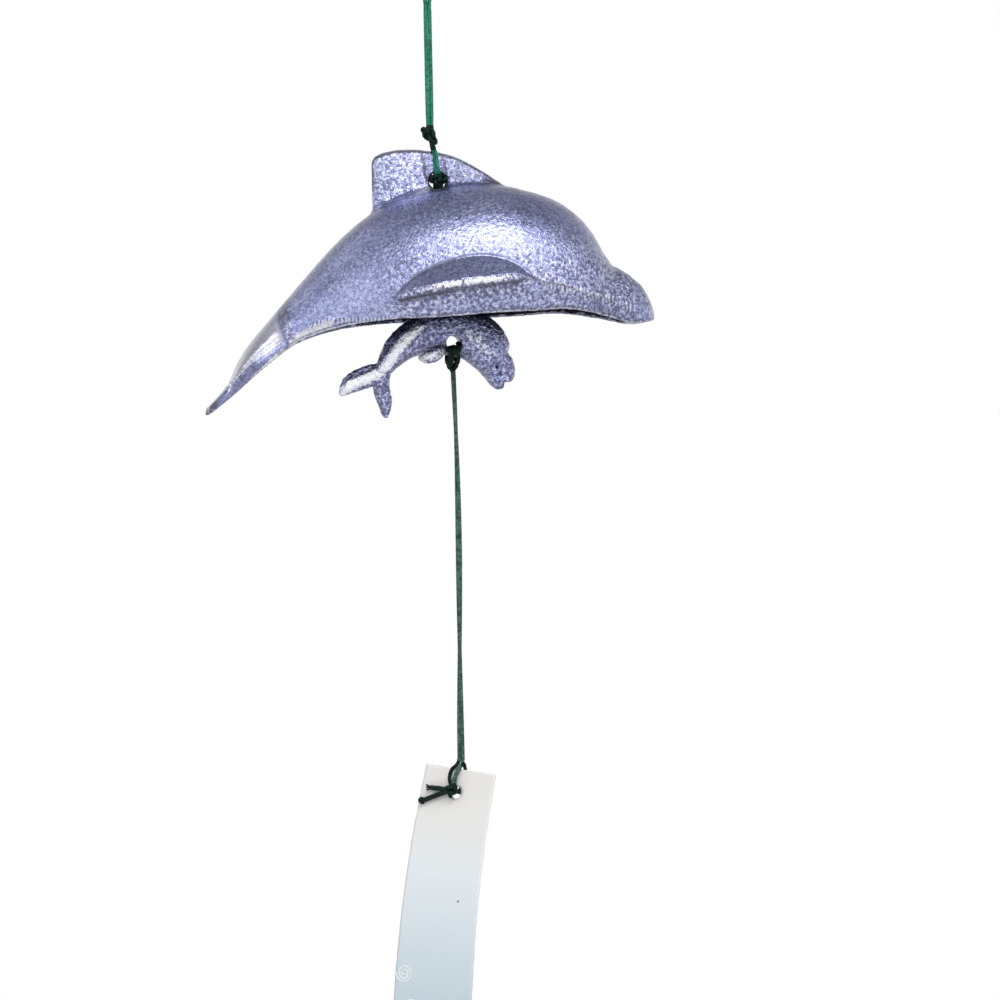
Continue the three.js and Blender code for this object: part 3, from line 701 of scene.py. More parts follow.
def makeStrip(settings):
    half = settings["width"] / 2
    columns = round(settings["width"] / settings["cell"])
    rows = round(settings["length"] / settings["cell"])
    shape = bmesh.new()
    bmesh.ops.create_grid(shape, x_segments=columns, y_segments=rows, size=0.5)
    bmesh.ops.scale(shape, verts=shape.verts, vec=(settings["width"], -settings["length"], 1))
    bmesh.ops.translate(shape, verts=shape.verts, vec=(0, settings["length"] / 2, 0))
    centre = Vector((0, settings["holeBelow"], 0))
    radius = settings["hole"] / 2
    inside = [f for f in shape.faces if (f.calc_center_median() - centre).length < radius]
    bmesh.ops.delete(shape, geom=inside, context="FACES")
    bmesh.ops.delete(shape, geom=[v for v in shape.verts if not v.link_faces], context="VERTS")
    for vert in shape.verts:
        if vert.is_boundary and (vert.co - centre).length < radius + settings["cell"]:
            vert.co = centre + (vert.co - centre).normalized() * radius
        elif vert.is_boundary:
            uneven = (noise.noise(vert.co * 0.35) + noise.noise(vert.co * 1.7) * 0.5) * settings["frayed"]
            atSide, atTop = abs(vert.co.x) > half - 0.01, vert.co.y < 1
            vert.co += Vector((uneven if atSide else 0, uneven if atTop else 0, 0))
    flat = shape.loops.layers.uv.new("flat")
    for face in shape.faces:
        for loop in face.loops:
            spot = loop.vert.co
            loop[flat].uv = (spot.x / settings["length"] + 0.5, spot.y / settings["length"])
        face.smooth = True
    for vert in shape.verts:
        vert.co = stripPoint(vert.co.x, vert.co.y, 0) * mm
    bmesh.ops.recalc_face_normals(shape, faces=shape.faces)
    piece = pieceFrom(shape, "paperStrip", paperMaterial())
    thick = piece.modifiers.new("thick", "SOLIDIFY")
    thick.thickness = settings["thickness"] * mm
    thick.offset = 0
    settle(piece, "strip", "paper", "paper_strip")
    return piece


# Printed curls: small white spirals and arcs, more of them towards the foot, and one dark speck
curlSettings = {
    "line": 0.36,
    "spirals": [  # across, down, size, quarter turns, which way
        (-9.3, 54.6, 2.5, 10, 1), (-6.2, 63.0, 2.4, 10, -1), (1.5, 68.0, 1.7, 8, 1), (8.2, 72.5, 1.9, 9, -1),
        (-8.0, 77.0, 2.5, 10, 1), (4.6, 81.0, 2.3, 10, -1), (-1.8, 87.5, 2.0, 9, 1), (8.6, 91.5, 2.2, 9, 1),
        (-7.0, 95.5, 2.7, 11, -1), (3.2, 101.0, 2.6, 11, 1), (-3.6, 109.0, 2.3, 10, -1), (8.0, 110.0, 2.4, 10, 1),
        (-8.8, 118.5, 2.2, 10, 1), (2.0, 120.0, 2.8, 11, -1), (-4.5, 128.5, 2.1, 9, 1), (7.4, 128.0, 2.3, 10, -1),
    ],
    "speck": (-1.9, -33.9, 0.28),
}


def makeCurls(settings):
    white, tree, shader = startMaterial("curlWhite")
    spot = addNode(tree, "TexCoord").outputs["Object"]
    grain = addNode(tree, "TexNoise", Vector=spot, Scale=1500.0, Detail=3.0).outputs[0]
    colour = rampNode(tree, grain, [(0.35, (0.80, 0.83, 0.86)), (0.65, (0.90, 0.92, 0.93))])
    bump = addNode(tree, "Bump", Strength=0.2, Distance=0.00005, Height=grain)
    tree.links.new(colour, shader.inputs["Base Color"])
    tree.links.new(bump.outputs[0], shader.inputs["Normal"])
    shader.inputs["Roughness"].default_value = 0.8
    face = stripSettings["thickness"] / 2
    flat = dict(cordSettings, plies=2, plyDepth=0.0, step=0.5, layLength=1e6, ends=(0.6, 0.9))
    meshes = []
    for across, down, size, quarters, way in settings["spirals"]:
        for side in (-1, 1):
            route = []
            for i in range(quarters * 3 + 1):
                turn = i * math.pi / 6
                reach = size * (0.12 + 0.88 * i / (quarters * 3))
                spot = (across + reach * math.cos(turn) * way, down + reach * math.sin(turn))
                route.append(stripPoint(spot[0], spot[1], side * (face - 0.08)))
            meshes.append(strandMesh(route, settings["line"], settings=flat)[0])
    curls = joinMeshes("stripCurls", meshes, white)
    settle(curls, "strip", "paper")
    x, z, size = settings["speck"]
    speck = bmesh.new()
    bmesh.ops.create_icosphere(speck, subdivisions=2, radius=size * mm)
    bmesh.ops.scale(speck, verts=speck.verts, vec=(1, 0.5, 1))
    bmesh.ops.translate(speck, verts=speck.verts, vec=overStrip(x, z, face) * mm)
    settle(pieceFrom(speck, "stripSpeck", shadedKnotGreen), "strip", "cord_dark")


# The strip's own knot: both strands over its top edge, one through the hole, tied in front, two tails

stripKnotSettings = {
    "cord": 1.05,
    "tail": 1.4,
    "fray": 0.5,
    "skin": 0.75,  # height of a strand's middle over the paper
}


def overRoute(*spots):
    return [overStrip(*spot) for spot in spots]


def onRoute(*spots):
    return [stripPoint(*spot) for spot in spots]


def makeStripKnot(settings):
    hole = stripSettings["holeBelow"]
    skin = settings["skin"]
    left = overRoute((-0.42, 3.0, 0), (-0.6, 2.0, 0.2), (-1.3, 1.0, 0.6), (-2.4, 0.0, skin),
                     (-3.05, -2.2, skin), (-2.9, -3.6, skin), (-2.5, -4.9, skin + 0.2))
    middle = overRoute((-0.1, 1.4, 0.5), (-0.9, 0.2, skin + 0.3), (-1.55, -1.4, skin + 0.5),
                       (-2.2, -3.0, skin + 0.4), (-2.3, -4.4, skin + 0.4), (-2.5, -5.6, skin + 0.2))
    right = overRoute((0.42, 3.0, 0), (0.3, 1.6, 0.35), (-0.5, 0.3, skin), (-1.5, -1.2, skin + 0.1),
                      (-1.8, -3.0, skin), (-1.9, -4.6, skin)) + onRoute((-0.9, hole - 0.5, 0.5), (-0.5, hole, -0.6))
    rear = overRoute((0.2, 1.9, 0.1), (0.75, 1.2, -0.2)) + onRoute(
        (0.9, 0.2, -0.6), (0.8, 2, -skin), (0.5, hole - 1.6, -skin), (0, hole - 0.2, -0.6))
    stub = overRoute((0.2, 1.2, 0.5), (0.7, 1.4, 0.4), (1.0, 1.6, 0.3))
    turn = math.radians(stripSettings["turn"])
    level = Vector((math.cos(turn), -math.sin(turn), 0))
    outward = Vector((-math.sin(turn), -math.cos(turn), 0))
    middleKnot = overStrip(-3.05, -5.5, skin + 0.75)
    knot = knotRoute(middleKnot, level * 1.75, Vector((0, 0, 1.4)), outward * 0.62)
    binder = overRoute((-2.3, -3.6, skin + 0.9), (-1.7, -4.5, skin + 1.3), (-1.9, -5.7, skin + 1.2),
                       (-2.8, -6.3, skin + 0.6))
    hook = overRoute((-2.4, -5.9, skin + 0.4)) + onRoute(
        (-1.3, hole - 0.2, 0.9), (0.0, hole - 0.1, 0.8), (0.9, hole - 0.2, 0.2), (1.1, hole - 0.1, -0.6))
    upper = overRoute((-3.6, -5.2, skin + 0.6), (-4.7, -5.1, skin + 0.7), (-5.8, -4.9, skin + 0.6),
                      (-6.9, -4.9, skin + 0.4), (-7.8, -4.7, skin + 0.2))
    lower = overRoute((-3.6, -5.7, skin + 0.6), (-5.0, -6.1, skin + 0.5), (-6.7, -6.8, skin + 0.3),
                      (-8.5, -7.6, skin + 0.1), (-10.0, -8.2, skin))
    bead = knotRoute(overStrip(-10.05, -8.15, skin), level * 0.4, Vector((0, 0, 0.4)), outward * 0.2, count=14)
    frays = []
    for rise in (0.34, 0.04, -0.3):
        frays.append(overRoute((-7.4, -4.8, skin + 0.3), (-8.1, -4.8 + rise, skin + 0.2),
                               (-8.9, -4.8 + 2.1 * rise, skin + 0.1)))
    strands = []
    for routes, size in (((left, rear, knot, binder, hook), settings["cord"]),
                         ((upper, lower, bead, stub), settings["tail"]), (frays, settings["fray"])):
        strands += [strandMesh(route, size, turned=i)[0] for i, route in enumerate(routes)]
    ends = makeStrands("stripCordEnds", [middle, right], settings["cord"], agedGreen)
    settle(ends, "strip", "cord_green")
    settle(joinMeshes("stripKnot", strands, shadedKnotGreen), "strip", "cord_dark", "strip_knot")


strip = makeStrip(stripSettings)
makeCurls(curlSettings)
makeStripKnot(stripKnotSettings)
print("paper strip made")

# Castings: the CAD form remeshed and fitted back to it, its edges rounded as sand leaves them, then worked over

bellLook = {
    # dark, body and light colour the grain: partly the paint's own flecked tone, partly painted shade in its pits
    # and painted glints on its tops
    "dark": (0.026, 0.030, 0.120),
    "body": (0.190, 0.222, 0.500),
    "light": (0.740, 0.755, 0.900),
    "pale": (0.455, 0.455, 0.530),    # paler tone of the flukes' hollow
    "bright": (0.740, 0.750, 0.800),  # painted highlights on high spots and edges
    # colour of painted shade: creases, shadows under ledges, pits and faces turned from the light
    "dirt": (0.014, 0.014, 0.052),
    "grain": 1150,                    # grains to the metre
    "grainDepth": 0.00050,            # on the roughest parts
    "metallic": 0.85,
    "gloss": 2.7,                     # refractive index of the paint
    "roughness": 0.30,
    "coat": 0.9,
    "coatGloss": 1.9,
}
calfLook = dict(
    bellLook,
    grain=1200,
    grainDepth=0.00062,
    # the calf's grain likewise: painted shade in pits, painted glints on tops, brighter painted highlights
    dark=(0.012, 0.012, 0.075),
    body=(0.165, 0.190, 0.500),
    light=(0.620, 0.660, 0.900),
    bright=(0.860, 0.880, 0.960),
)
ironLook = {
    "dark": (0.004, 0.005, 0.009),
    "light": (0.030, 0.033, 0.048),
    "grain": 900,
    "roughness": 0.75,
}

# What each point of a casting's surface tells its paint: how grainy, how pale, its painted highlight and its
# painted shade
layerNames = ("grainShare", "pale", "wear", "dirt")


def paintMaterial(name, look):
    material, tree, shader = startMaterial(name)

    def maths(operation, first, second):
        return mathNode(tree, operation, first, second)

    spot = addNode(tree, "TexCoord").outputs["Object"]
    share, pale, wear, dirt = (
        addNode(tree, "Attribute", {"attribute_name": key}).outputs["Fac"] for key in layerNames)
    grain = addNode(tree, "TexNoise", Vector=spot, Scale=float(look["grain"]), Detail=4.0, Roughness=0.6).outputs[0]
    flake = addNode(tree, "TexVoronoi", Vector=spot, Scale=look["grain"] * 2.2).outputs["Color"]
    flakeShade = addNode(tree, "SeparateColor", in0=flake).outputs[0]
    cloud = addNode(tree, "TexNoise", Vector=spot, Scale=60.0, Detail=3.0).outputs[0]
    # the bump's own noise also colours the paint: its pits painted darker as shade, its tops lighter as glints
    pebble = maths("MULTIPLY", maths("SUBTRACT", grain, 0.5), share)
    shade = maths("ADD", maths("MULTIPLY", pebble, 1.35), maths("MULTIPLY", flakeShade, 0.16))
    shade = maths("ADD", shade, maths("MULTIPLY", cloud, 0.3))
    colour = rampNode(tree, shade, [(0.03, look["dark"]), (0.23, look["body"]), (0.60, look["light"])])
    colour = mixColour(tree, pale, colour, look["pale"])
    # painted highlight: brightens the grain's tops first, where the highlight layer is set
    highlightMask = addNode(tree, "MapRange", in0=maths("ADD", wear, pebble), in1=0.2, in2=0.6).outputs[0]
    colour = mixColour(tree, highlightMask, colour, look["bright"])
    # painted shade: darkens the grain's pits first, then all over where the layer is strong
    shadeInPits = maths("SUBTRACT", maths("MULTIPLY", dirt, 1.5), grain)
    shadeMask = addNode(tree, "MapRange", in0=shadeInPits, in1=-0.45, in2=0.6).outputs[0]
    dirty = maths("MINIMUM", maths("MULTIPLY", dirt, 4.0), 1.0)
    colour = mixColour(tree, maths("MULTIPLY", shadeMask, dirty), colour, look["dirt"])
    tree.links.new(colour, shader.inputs["Base Color"])
    smooth, dull = look["roughness"] - 0.08, look["roughness"] + 0.10
    rough = addNode(tree, "MapRange", in0=flakeShade, in3=smooth, in4=dull).outputs[0]
    rough = maths("ADD", rough, maths("MULTIPLY", maths("ADD", pale, dirt), 0.24))
    tree.links.new(rough, shader.inputs["Roughness"])
    finer = addNode(tree, "TexNoise", Vector=spot, Scale=look["grain"] * 2.3, Detail=2.0).outputs[0]
    height = maths("ADD", grain, maths("MULTIPLY", finer, 0.25))
    strength = maths("MULTIPLY", share, 0.67)
    bump = addNode(tree, "Bump", Strength=strength, Distance=look["grainDepth"], Height=height)
    tree.links.new(bump.outputs[0], shader.inputs["Normal"])
    tree.links.new(bump.outputs[0], shader.inputs["Coat Normal"])
    shader.inputs["Coat Weight"].default_value = look["coat"]
    shader.inputs["Coat Roughness"].default_value = look["roughness"]
    shader.inputs["Coat IOR"].default_value = look["coatGloss"]
    shader.inputs["Metallic"].default_value = look["metallic"]
    shader.inputs["IOR"].default_value = look["gloss"]
    return material


# Unpainted iron inside the bell and in the holes
def ironMaterial(look):
    material, tree, shader = startMaterial("bareIron")
    spot = addNode(tree, "TexCoord").outputs["Object"]
    grain = addNode(tree, "TexNoise", Vector=spot, Scale=float(look["grain"]), Detail=4.0, Roughness=0.6).outputs[0]
    colour = rampNode(tree, grain, [(0.3, look["dark"]), (0.7, look["light"])])
    smooth, dull = look["roughness"] - 0.1, look["roughness"] + 0.1
    rough = addNode(tree, "MapRange", in0=grain, in3=smooth, in4=dull).outputs[0]
    bump = addNode(tree, "Bump", Strength=0.8, Distance=0.00015, Height=grain)
    tree.links.new(colour, shader.inputs["Base Color"])
    tree.links.new(rough, shader.inputs["Roughness"])
    tree.links.new(bump.outputs[0], shader.inputs["Normal"])
    shader.inputs["IOR"].default_value = 1.25
    return material


# A copy of a casting's CAD mesh in millimetres, its corners joined
def copyCasting(settings):
    shape = bmesh.new()
    shape.from_mesh(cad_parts[settings["node"]].data)
    bmesh.ops.scale(shape, verts=shape.verts, vec=(1000, 1000, 1000))
    bmesh.ops.translate(shape, verts=shape.verts, vec=settings["shift"])
    bmesh.ops.remove_doubles(shape, verts=shape.verts, dist=0.002)
    bmesh.ops.recalc_face_normals(shape, faces=shape.faces)
    return shape


def sharpPoints(shape, angle):
    points = []
    for edge in shape.edges:
        if edge.is_manifold and edge.calc_face_angle() > math.radians(angle):
            first, last = (vert.co for vert in edge.verts)
            count = math.ceil(edge.calc_length() / 0.3)
            points += [first.lerp(last, i / count) for i in range(count + 1)]
    tree = KDTree(len(points))
    for i, point in enumerate(points):
        tree.insert(point, i)
    tree.balance()
    return tree


def remeshCasting(name, exact, settings):
    mesh = bpy.data.meshes.new(name)
    exact.to_mesh(mesh)
    piece = bpy.data.objects.new(name, mesh)
    bpy.context.scene.collection.objects.link(piece)
    remesh = piece.modifiers.new("remesh", "REMESH")
    remesh.mode = "VOXEL"
    remesh.voxel_size = settings["voxel"]
    done = bpy.data.meshes.new_from_object(piece.evaluated_get(bpy.context.evaluated_depsgraph_get()))
    piece.modifiers.clear()
    shape = bmesh.new()
    shape.from_mesh(done)
    return piece, shape


# Splits the cells where fine is true, as often as it says
def refine(shape, fine):
    for level in (1, 2):
        chosen = {vert for vert in shape.verts if fine(vert.co) >= level}
        edges = [edge for edge in shape.edges if edge.verts[0] in chosen and edge.verts[1] in chosen]
        bmesh.ops.subdivide_edges(shape, edges=edges, cuts=1, use_grid_fill=True)


# Where the bell's fin runs into its back, clear of the cross hole
def onFillet(x, y, z):
    return abs(y) < 7 and -19 < x < 18 and abs(z - lineAt(finFoot, x)) < 2.6 and math.hypot(x, z) > 3.0


def fitTo(shape, exact, sharp, settings):
    tree = BVHTree.FromBMesh(exact)
    for vert in shape.verts:
        vert.co = tree.find_nearest(vert.co)[0]
    far = [vert for vert in shape.verts if sharp.find(vert.co)[2] > settings["edgeReach"]]
    filleted = [vert for vert in shape.verts if settings["fillets"] and onFillet(*vert.co)]
    passes = ((settings["rounds"], far), (settings["edgeRounds"], shape.verts), (settings["fillets"], filleted))
    for count, verts in passes:
        for _ in range(count):
            bmesh.ops.smooth_vert(shape, verts=verts, factor=0.5, use_axis_x=True, use_axis_y=True, use_axis_z=True)
    shape.normal_update()
    return tree


# Marks: strokes along a line (x, z) drawn on both sides; each gives 1 on its line, 0 beyond its reach
def stroke(x, z, line, reach, fade=2.0):
    off = abs(z - lineAt(line, x)) / reach
    return max(1 - off * off, 0) * between(x, line[0][0], line[-1][0], fade)


# The same for a line that may run steeply
def strokeAlong(x, z, line, reach):
    nearest = reach
    for (ax, az), (bx, bz) in zip(line, line[1:]):
        if min(ax, bx) - reach < x < max(ax, bx) + reach and min(az, bz) - reach < z < max(az, bz) + reach:
            share = ((x - ax) * (bx - ax) + (z - az) * (bz - az)) / ((bx - ax) ** 2 + (bz - az) ** 2)
            share = min(max(share, 0), 1)
            nearest = min(nearest, math.hypot(x - ax - share * (bx - ax), z - az - share * (bz - az)))
    return 1 - (nearest / reach) ** 2


flipper = {
    "crease": [
        (-13.6, -32.7), (-13.4, -32.5), (-8.5, -27.8), (-3.1, -24.7), (3.4, -22.6), (9.4, -21.9),
        (15.3, -22.8), (19.6, -25.0), (22.3, -27.8),
    ],
    "lipTop": [
        (-13.6, -32.9), (-11.5, -31.1), (-3.4, -29.1), (4.7, -27.9), (12.8, -27.3), (18.2, -26.8), (22.3, -27.9),
    ],
    "foot": [(-13.7, -33.3), (-1.8, -31.2), (7.3, -30.1), (15.5, -29.1), (21.5, -28.2), (22.3, -28.1)],
    "ends": (-13.4, 22.2),
    "outFrom": 18.5,   # it lies beyond this far from the middle
    "lipRound": 0.48,
    "pebble": 0.24,
}
flukes = {
    "line": [
        (-60.5, -59.2), (-59.5, -58.2), (-57.9, -56.7), (-54.3, -53.2), (-50.6, -49.6), (-45.9, -46.1),
        (-41, -42.6),
    ],
    "shine": [(-41.3, -45.0), (-47.1, -50.0), (-51.5, -54.5), (-55.9, -58.0)],
    "hollow": 0.75,
    "bulge": 0.25,
}
rim = [
    (-43, -44.5), (-36, -41), (-29.5, -39.4), (-19.3, -39.6), (-3.9, -37.8), (14.1, -36.9), (21.9, -36.6),
    (28.3, -36), (30.9, -35.8), (34.8, -36.3), (39.9, -37.6), (45, -38.8), (50.4, -40.1),
]
ticks = {
    "front": [(23.5, -28.5), (34.9, -31.6), (44.6, -33.5), (50, -36.3)],
    "rear": [(-36, -40.0), (-29.5, -37.9), (-19.3, -38.0), (-13, -37.2)],
    "pitch": 0.98,
    "height": 0.162,
}
frontCrease = [(21.8, -27.1), (25.0, -29.0), (30.8, -30.0), (33.6, -30.7)]
rearStripe = [(-39.6, -43.2), (-37.0, -41.5), (-33.1, -39.8), (-29.2, -38.5)]
darkPatch = [(-41.2, -36.5), (-40.6, -39.6), (-39.1, -41.7)]
finGroove = [(-3.4, 3.7), (-2.7, -1.2)]
finFoot = [(-17.3, -9.6), (-11.3, -8.6), (-6.4, -5.8), (-1.9, -3.3), (1.7, -3.3), (8.2, -2.8)]


def bellFine(spot):
    x, y, z = spot
    side = abs(y)
    if 22.5 < x < 51 and side > 3 and abs(z - lineAt(ticks["front"], x)) < 1.5:
        return 2
    if -37 < x < -12 and side > 3 and abs(z - lineAt(ticks["rear"], x)) < 1.5:
        return 2
    if side > 18.5 and -15 < x < 24 and -34.5 < z < -20.5:
        return 1
    return 1 if (x < -39.5 or (z > -10 and side < 5) or z < lineAt(rim, x) + 1.2) else 0


# How far out the bell's wall over the flipper and the flipper's lip lie, along the flipper
def flipperShape(tree):
    wall, lip = [], []
    for i in range(73):
        x = -13.6 + 0.5 * i
        crease, top, foot = (lineAt(flipper[key], x) for key in ("crease", "lipTop", "foot"))
        high = top - foot
        heights = (crease + 0.5, top, foot + 0.2, foot + 0.5 * high, top - 0.25 * high, foot + 0.3 * high)
        reach = [-tree.ray_cast(Vector((x, -60, z)), Vector((0, 1, 0)))[0].y for z in heights]
        wall.append((x, reach[0]))
        lip.append((x, max(reach[1:])))
    return wall, lip


# Its upper face runs out to the lip, under a crease along the wall. The upper face is painted in shade, the crease
# as a dark line, the lip with a painted highlight and painted shade under it, and a painted shadow lies below
def workFlipper(mark, spot, out, wall, lip):
    x, y, z = spot
    rear, front = flipper["ends"]
    if abs(y) <= flipper["outFrom"] or not rear < x < front or out <= 0.02:
        return
    crease, top, foot = (lineAt(flipper[key], x) for key in ("crease", "lipTop", "foot"))
    tip = between(x, rear, front, 2.5)
    if foot <= z <= crease + 0.8:
        root, far = lineAt(wall, x), lineAt(lip, x)
        if z > top:
            slope = min(max((crease - z) / max(crease - top, 0.3), 0), 1)
            wrinkle = stroke(x, z + 0.9, flipper["crease"], 0.35) + stroke(x, z + 1.9, flipper["crease"], 0.35)
            wrinkle *= between(x, -11, 5, 3)
            goal = root + (far - 0.3 - root) * slope - 0.07 * wrinkle
            mark.lift *= 0.25
            mark.share = 0.35
            # upper face: painted shade, a little more in its wrinkles
            mark.dirt = 0.2 + 0.12 * wrinkle
        else:
            level = (top - z) / max(top - foot, 0.3)
            goal = far - flipper["lipRound"] * (2 * level - 0.9) ** 2 + noise.noise(spot / 0.8) * flipper["pebble"]
            # lip: painted highlight along its middle, painted shade at its underside and in random pits
            mark.wear = (0.15 + 0.6 * between(x, -6, 18, 5)) * (1 - abs(2 * level - 0.8)) + 0.08
            mark.dirt = 0.6 * max(level - 0.72, 0) / 0.28 + 1.7 * max(noise.noise(spot / 0.9) - 0.12, 0)
            mark.share = 1.4
        if z < crease and goal > 18:
            mark.sideways = (goal - abs(y)) * tip
        # the crease painted as a dark line of shade
        cut = max(1 - ((z - crease) / 0.38) ** 2, 0) * between(x, rear, front, 1.5)
        mark.sideways -= 0.24 * cut
        mark.dirt = max(mark.dirt, (0.75 - 0.4 * between(x, 2, 30, 6)) * cut)
    elif foot - 2.6 < z < foot:
        # painted shadow under the flipper, with a faint painted highlight ahead
        shadow = (1 - (foot - z) / 2.6) * tip
        mark.dirt = (0.85 - 0.4 * between(x, -2, 30, 5)) * shadow * shadow
        mark.share = 1.5
        mark.wear = 0.2 * between(x, -2, 30, 5)


# Rows of ticks before the flipper and over the tail's edge, their crests painted with highlights and troughs with
# shade, the crease above them painted as a dark line, a painted highlight stripe along the tail and a patch of
# painted shade ahead of the flukes
def workSides(mark, spot, out):
    x, y, z = spot
    if abs(y) <= 3 or out <= 0.1:
        return
    for key, height in (("front", 1.3), ("rear", 1.0)):
        row = min(2 * stroke(x, z, ticks[key], height, 2.5), 1)
        if row > 0:
            wave = 0.5 + 0.5 * math.cos(2 * math.pi * x / ticks["pitch"] + 2.5 * noise.noise(spot / 3))
            mark.lift += ticks["height"] * wave * row
            # crests painted with highlights, troughs painted with shade
            mark.wear = max(mark.wear, 0.45 * wave * row)
            mark.dirt = max(mark.dirt, 0.27 * (1 - wave) * row)
    cut = strokeAlong(x, z, frontCrease, 0.4)
    mark.lift -= 0.12 * cut
    mark.wear = max(mark.wear, 0.55 * strokeAlong(x, z, rearStripe, 1.5))
    mark.dirt = max(mark.dirt, 0.6 * cut, 0.4 * strokeAlong(x, z, darkPatch, 1.6))


# The flukes are hollowed and pale above their edge line, and swell below it with a painted highlight stripe; their
# borders, tip and edge line are painted in shade
def workFlukes(mark, spot, normal):
    x, y, z = spot
    if x >= -39.5 or normal.z <= -0.5:
        return
    rise = (z - lineAt(flukes["line"], x)) * 0.74
    start = min(max((-40.6 - 0.35 * (z + 42) - x) / 1.4, 0), 1)
    if rise > 0:
        deep = min(rise / 1.2, 1) * max(1 - max(rise - 1.2, 0) / 4.3, 0)
        mark.lift = mark.lift * 0.3 - flukes["hollow"] * deep * start
        mark.pale = start * min(rise / 0.6, 1) * (1 - 0.25 * min(rise / 5, 1))
        mark.share = 1 - 0.75 * start
        # painted shade where the flukes meet the tail stock
        mark.dirt = 0.35 * (1 - start) * between(x, -43, -38, 1)
    else:
        level = min(-rise / 2.2, 1)
        shine = strokeAlong(x, z, flukes["shine"], 0.8)
        shaded = 0.25 * (1 - shine) + 0.4 * between(-rise, 2.7, 9, 0.5)
        mark.lift = mark.lift * 0.5 + flukes["bulge"] * math.sin(math.pi * level) * start + 0.15 * shine
        # painted highlight along the stripe, painted shade beside it, lower down and at the tip
        mark.wear = 0.8 * shine * start
        mark.dirt = shaded * start + 0.5 * between(x, -70, -58.3, 0.8)
        mark.share = 1 - 0.5 * start
    cut = max(1 - (rise / 0.3) ** 2, 0) * start
    mark.lift -= 0.12 * cut
    # a dark line of painted shade on the edge line
    mark.dirt = max(mark.dirt, 0.5 * cut)


# The rim's outer corner gets a painted highlight, the faces under it painted shade, and a fine groove above it a
# dark line of painted shade
def workRim(mark, spot, out, edge):
    x, y, z = spot
    if x <= -43 or abs(y) <= 2 or z >= lineAt(rim, x) + 1.6:
        return
    if edge < 0.34 and out > 0.2:
        mark.wear, mark.dirt = 0.5, 0.0
    elif out < 0.2:
        mark.dirt = 0.45
    elif out > 0.3:
        cut = max(1 - ((edge - 0.65) / 0.32) ** 2, 0)
        mark.lift -= 0.07 * cut
        mark.dirt = max(mark.dirt, 0.6 * cut)


# The fin: painted lighter behind and darker ahead as the light falls, a painted highlight along the fillet at its
# foot, the cord's groove painted as a dark line, and a dark outline of painted shade along its edges
def workFin(mark, spot, normal, out, edge):
    x, y, z = spot
    side = abs(y)
    if z <= -10 or side >= 5.5 or not -19 < x < 18:
        return
    onFin = min(max((abs(normal.y) - 0.75) / 0.15, 0), 1) if side < 3.6 else 0
    # rear painted with a highlight, front with shade
    mark.wear = max(mark.wear, 0.22 * between(x, -20, -1, 4) * onFin)
    mark.dirt = max(mark.dirt, 0.3 * between(x, 1, 20, 4) * onFin)
    mark.share += 0.5 * onFin
    if out > 0.2:
        cut = strokeAlong(x, z, finGroove, 0.45)
        mark.wear = max(mark.wear, 0.7 * stroke(x, z, finFoot, 1.0, 1.5) * between(x, -18, 2, 2))
        mark.lift -= 0.12 * cut
        mark.dirt = max(mark.dirt, 0.8 * cut * (0.4 + 0.6 * between(z, -3, 1.5, 1.5)))
    # painted shade along the fin's sharp edges
    if z > -4 and edge < 0.45:
        mark.dirt = max(mark.dirt, 0.55)


def detailBell(shape, tree, sharp):
    layers = [shape.verts.layers.float.new(key) for key in layerNames]
    wall, lip = flipperShape(tree)
    moves = []
    for vert in shape.verts:
        x, y, z = vert.co
        way = 1 if y > 0 else -1
        out = vert.normal.y * way
        edge = sharp.find(vert.co)[2]
        share = 0.55 + 0.85 * between(z, -60, -16, 10) * between(x, -18, 60, 12)
        lift = (noise.noise(vert.co / 1.4) * 0.07 + noise.noise(vert.co / 0.8) * 0.04) * share
        mark = SimpleNamespace(share=share, lift=lift, sideways=0.0, pale=0.0, wear=0.0, dirt=0.0)
        workFlipper(mark, vert.co, out, wall, lip)
        workSides(mark, vert.co, out)
        workFlukes(mark, vert.co, vert.normal)
        workRim(mark, vert.co, out, edge)
        workFin(mark, vert.co, vert.normal, out, edge)
        for layer, value in zip(layers, (mark.share, mark.pale, mark.wear, mark.dirt)):
            vert[layer] = min(max(value, 0), 1.5)
        moves.append(vert.normal * mark.lift + Vector((0, mark.sideways * way, 0)))
    for vert, move in zip(shape.verts, moves):
        vert.co += move


# Lines and areas on the calf: a painted highlight along the ridge and on the flipper and cheek, painted shade along
# the shadow, mouth and flipper lines and over the far fluke
calfMarks = {
    "hole": 1.95,
    "ring": 1.0,
    "ridge": [
        (-23.9, -111.0), (-21.8, -109.4), (-18.1, -108.3), (-14.4, -106.5), (-12.3, -104.4),
        (-9.9, -100.8), (-6.4, -96.8), (-4.3, -95.0),
    ],
    "shadow": [
        (-24.1, -109.4), (-22.3, -107.6), (-19.4, -106.7), (-16.8, -105.7), (-15.0, -103.7),
        (-12.9, -100.9), (-10.2, -97.3), (-8.0, -94.8),
    ],
    "flipper": [(-3.2, -102.7), (-1.1, -102.7), (2.0, -102.0)],
    "flipperLine": [(-4.1, -102.3), (-2.5, -101.1), (0.1, -100.1), (2.4, -99.8)],
    "farFluke": [(-15.5, -111.5), (-14.5, -116)],
    "mouth": [(17.9, -109.2), (16.6, -106.8), (14.9, -104.7), (13.3, -103.4)],
    "cheek": [(9.0, -97.4), (11.5, -100.0), (13.5, -101.9)],
    "reach": {  # half the width of each stroke
        "ridge": 1.8, "shadow": 0.6, "mouth": 0.8, "flipperLine": 0.5, "flipper": 1.7, "cheek": 2.6, "farFluke": 3,
    },
}


def calfFine(spot):
    x, y, z = spot
    return 1 if (x > 12 or strokeAlong(x, z, calfMarks["flipperLine"], 1.6) > 0) else 0


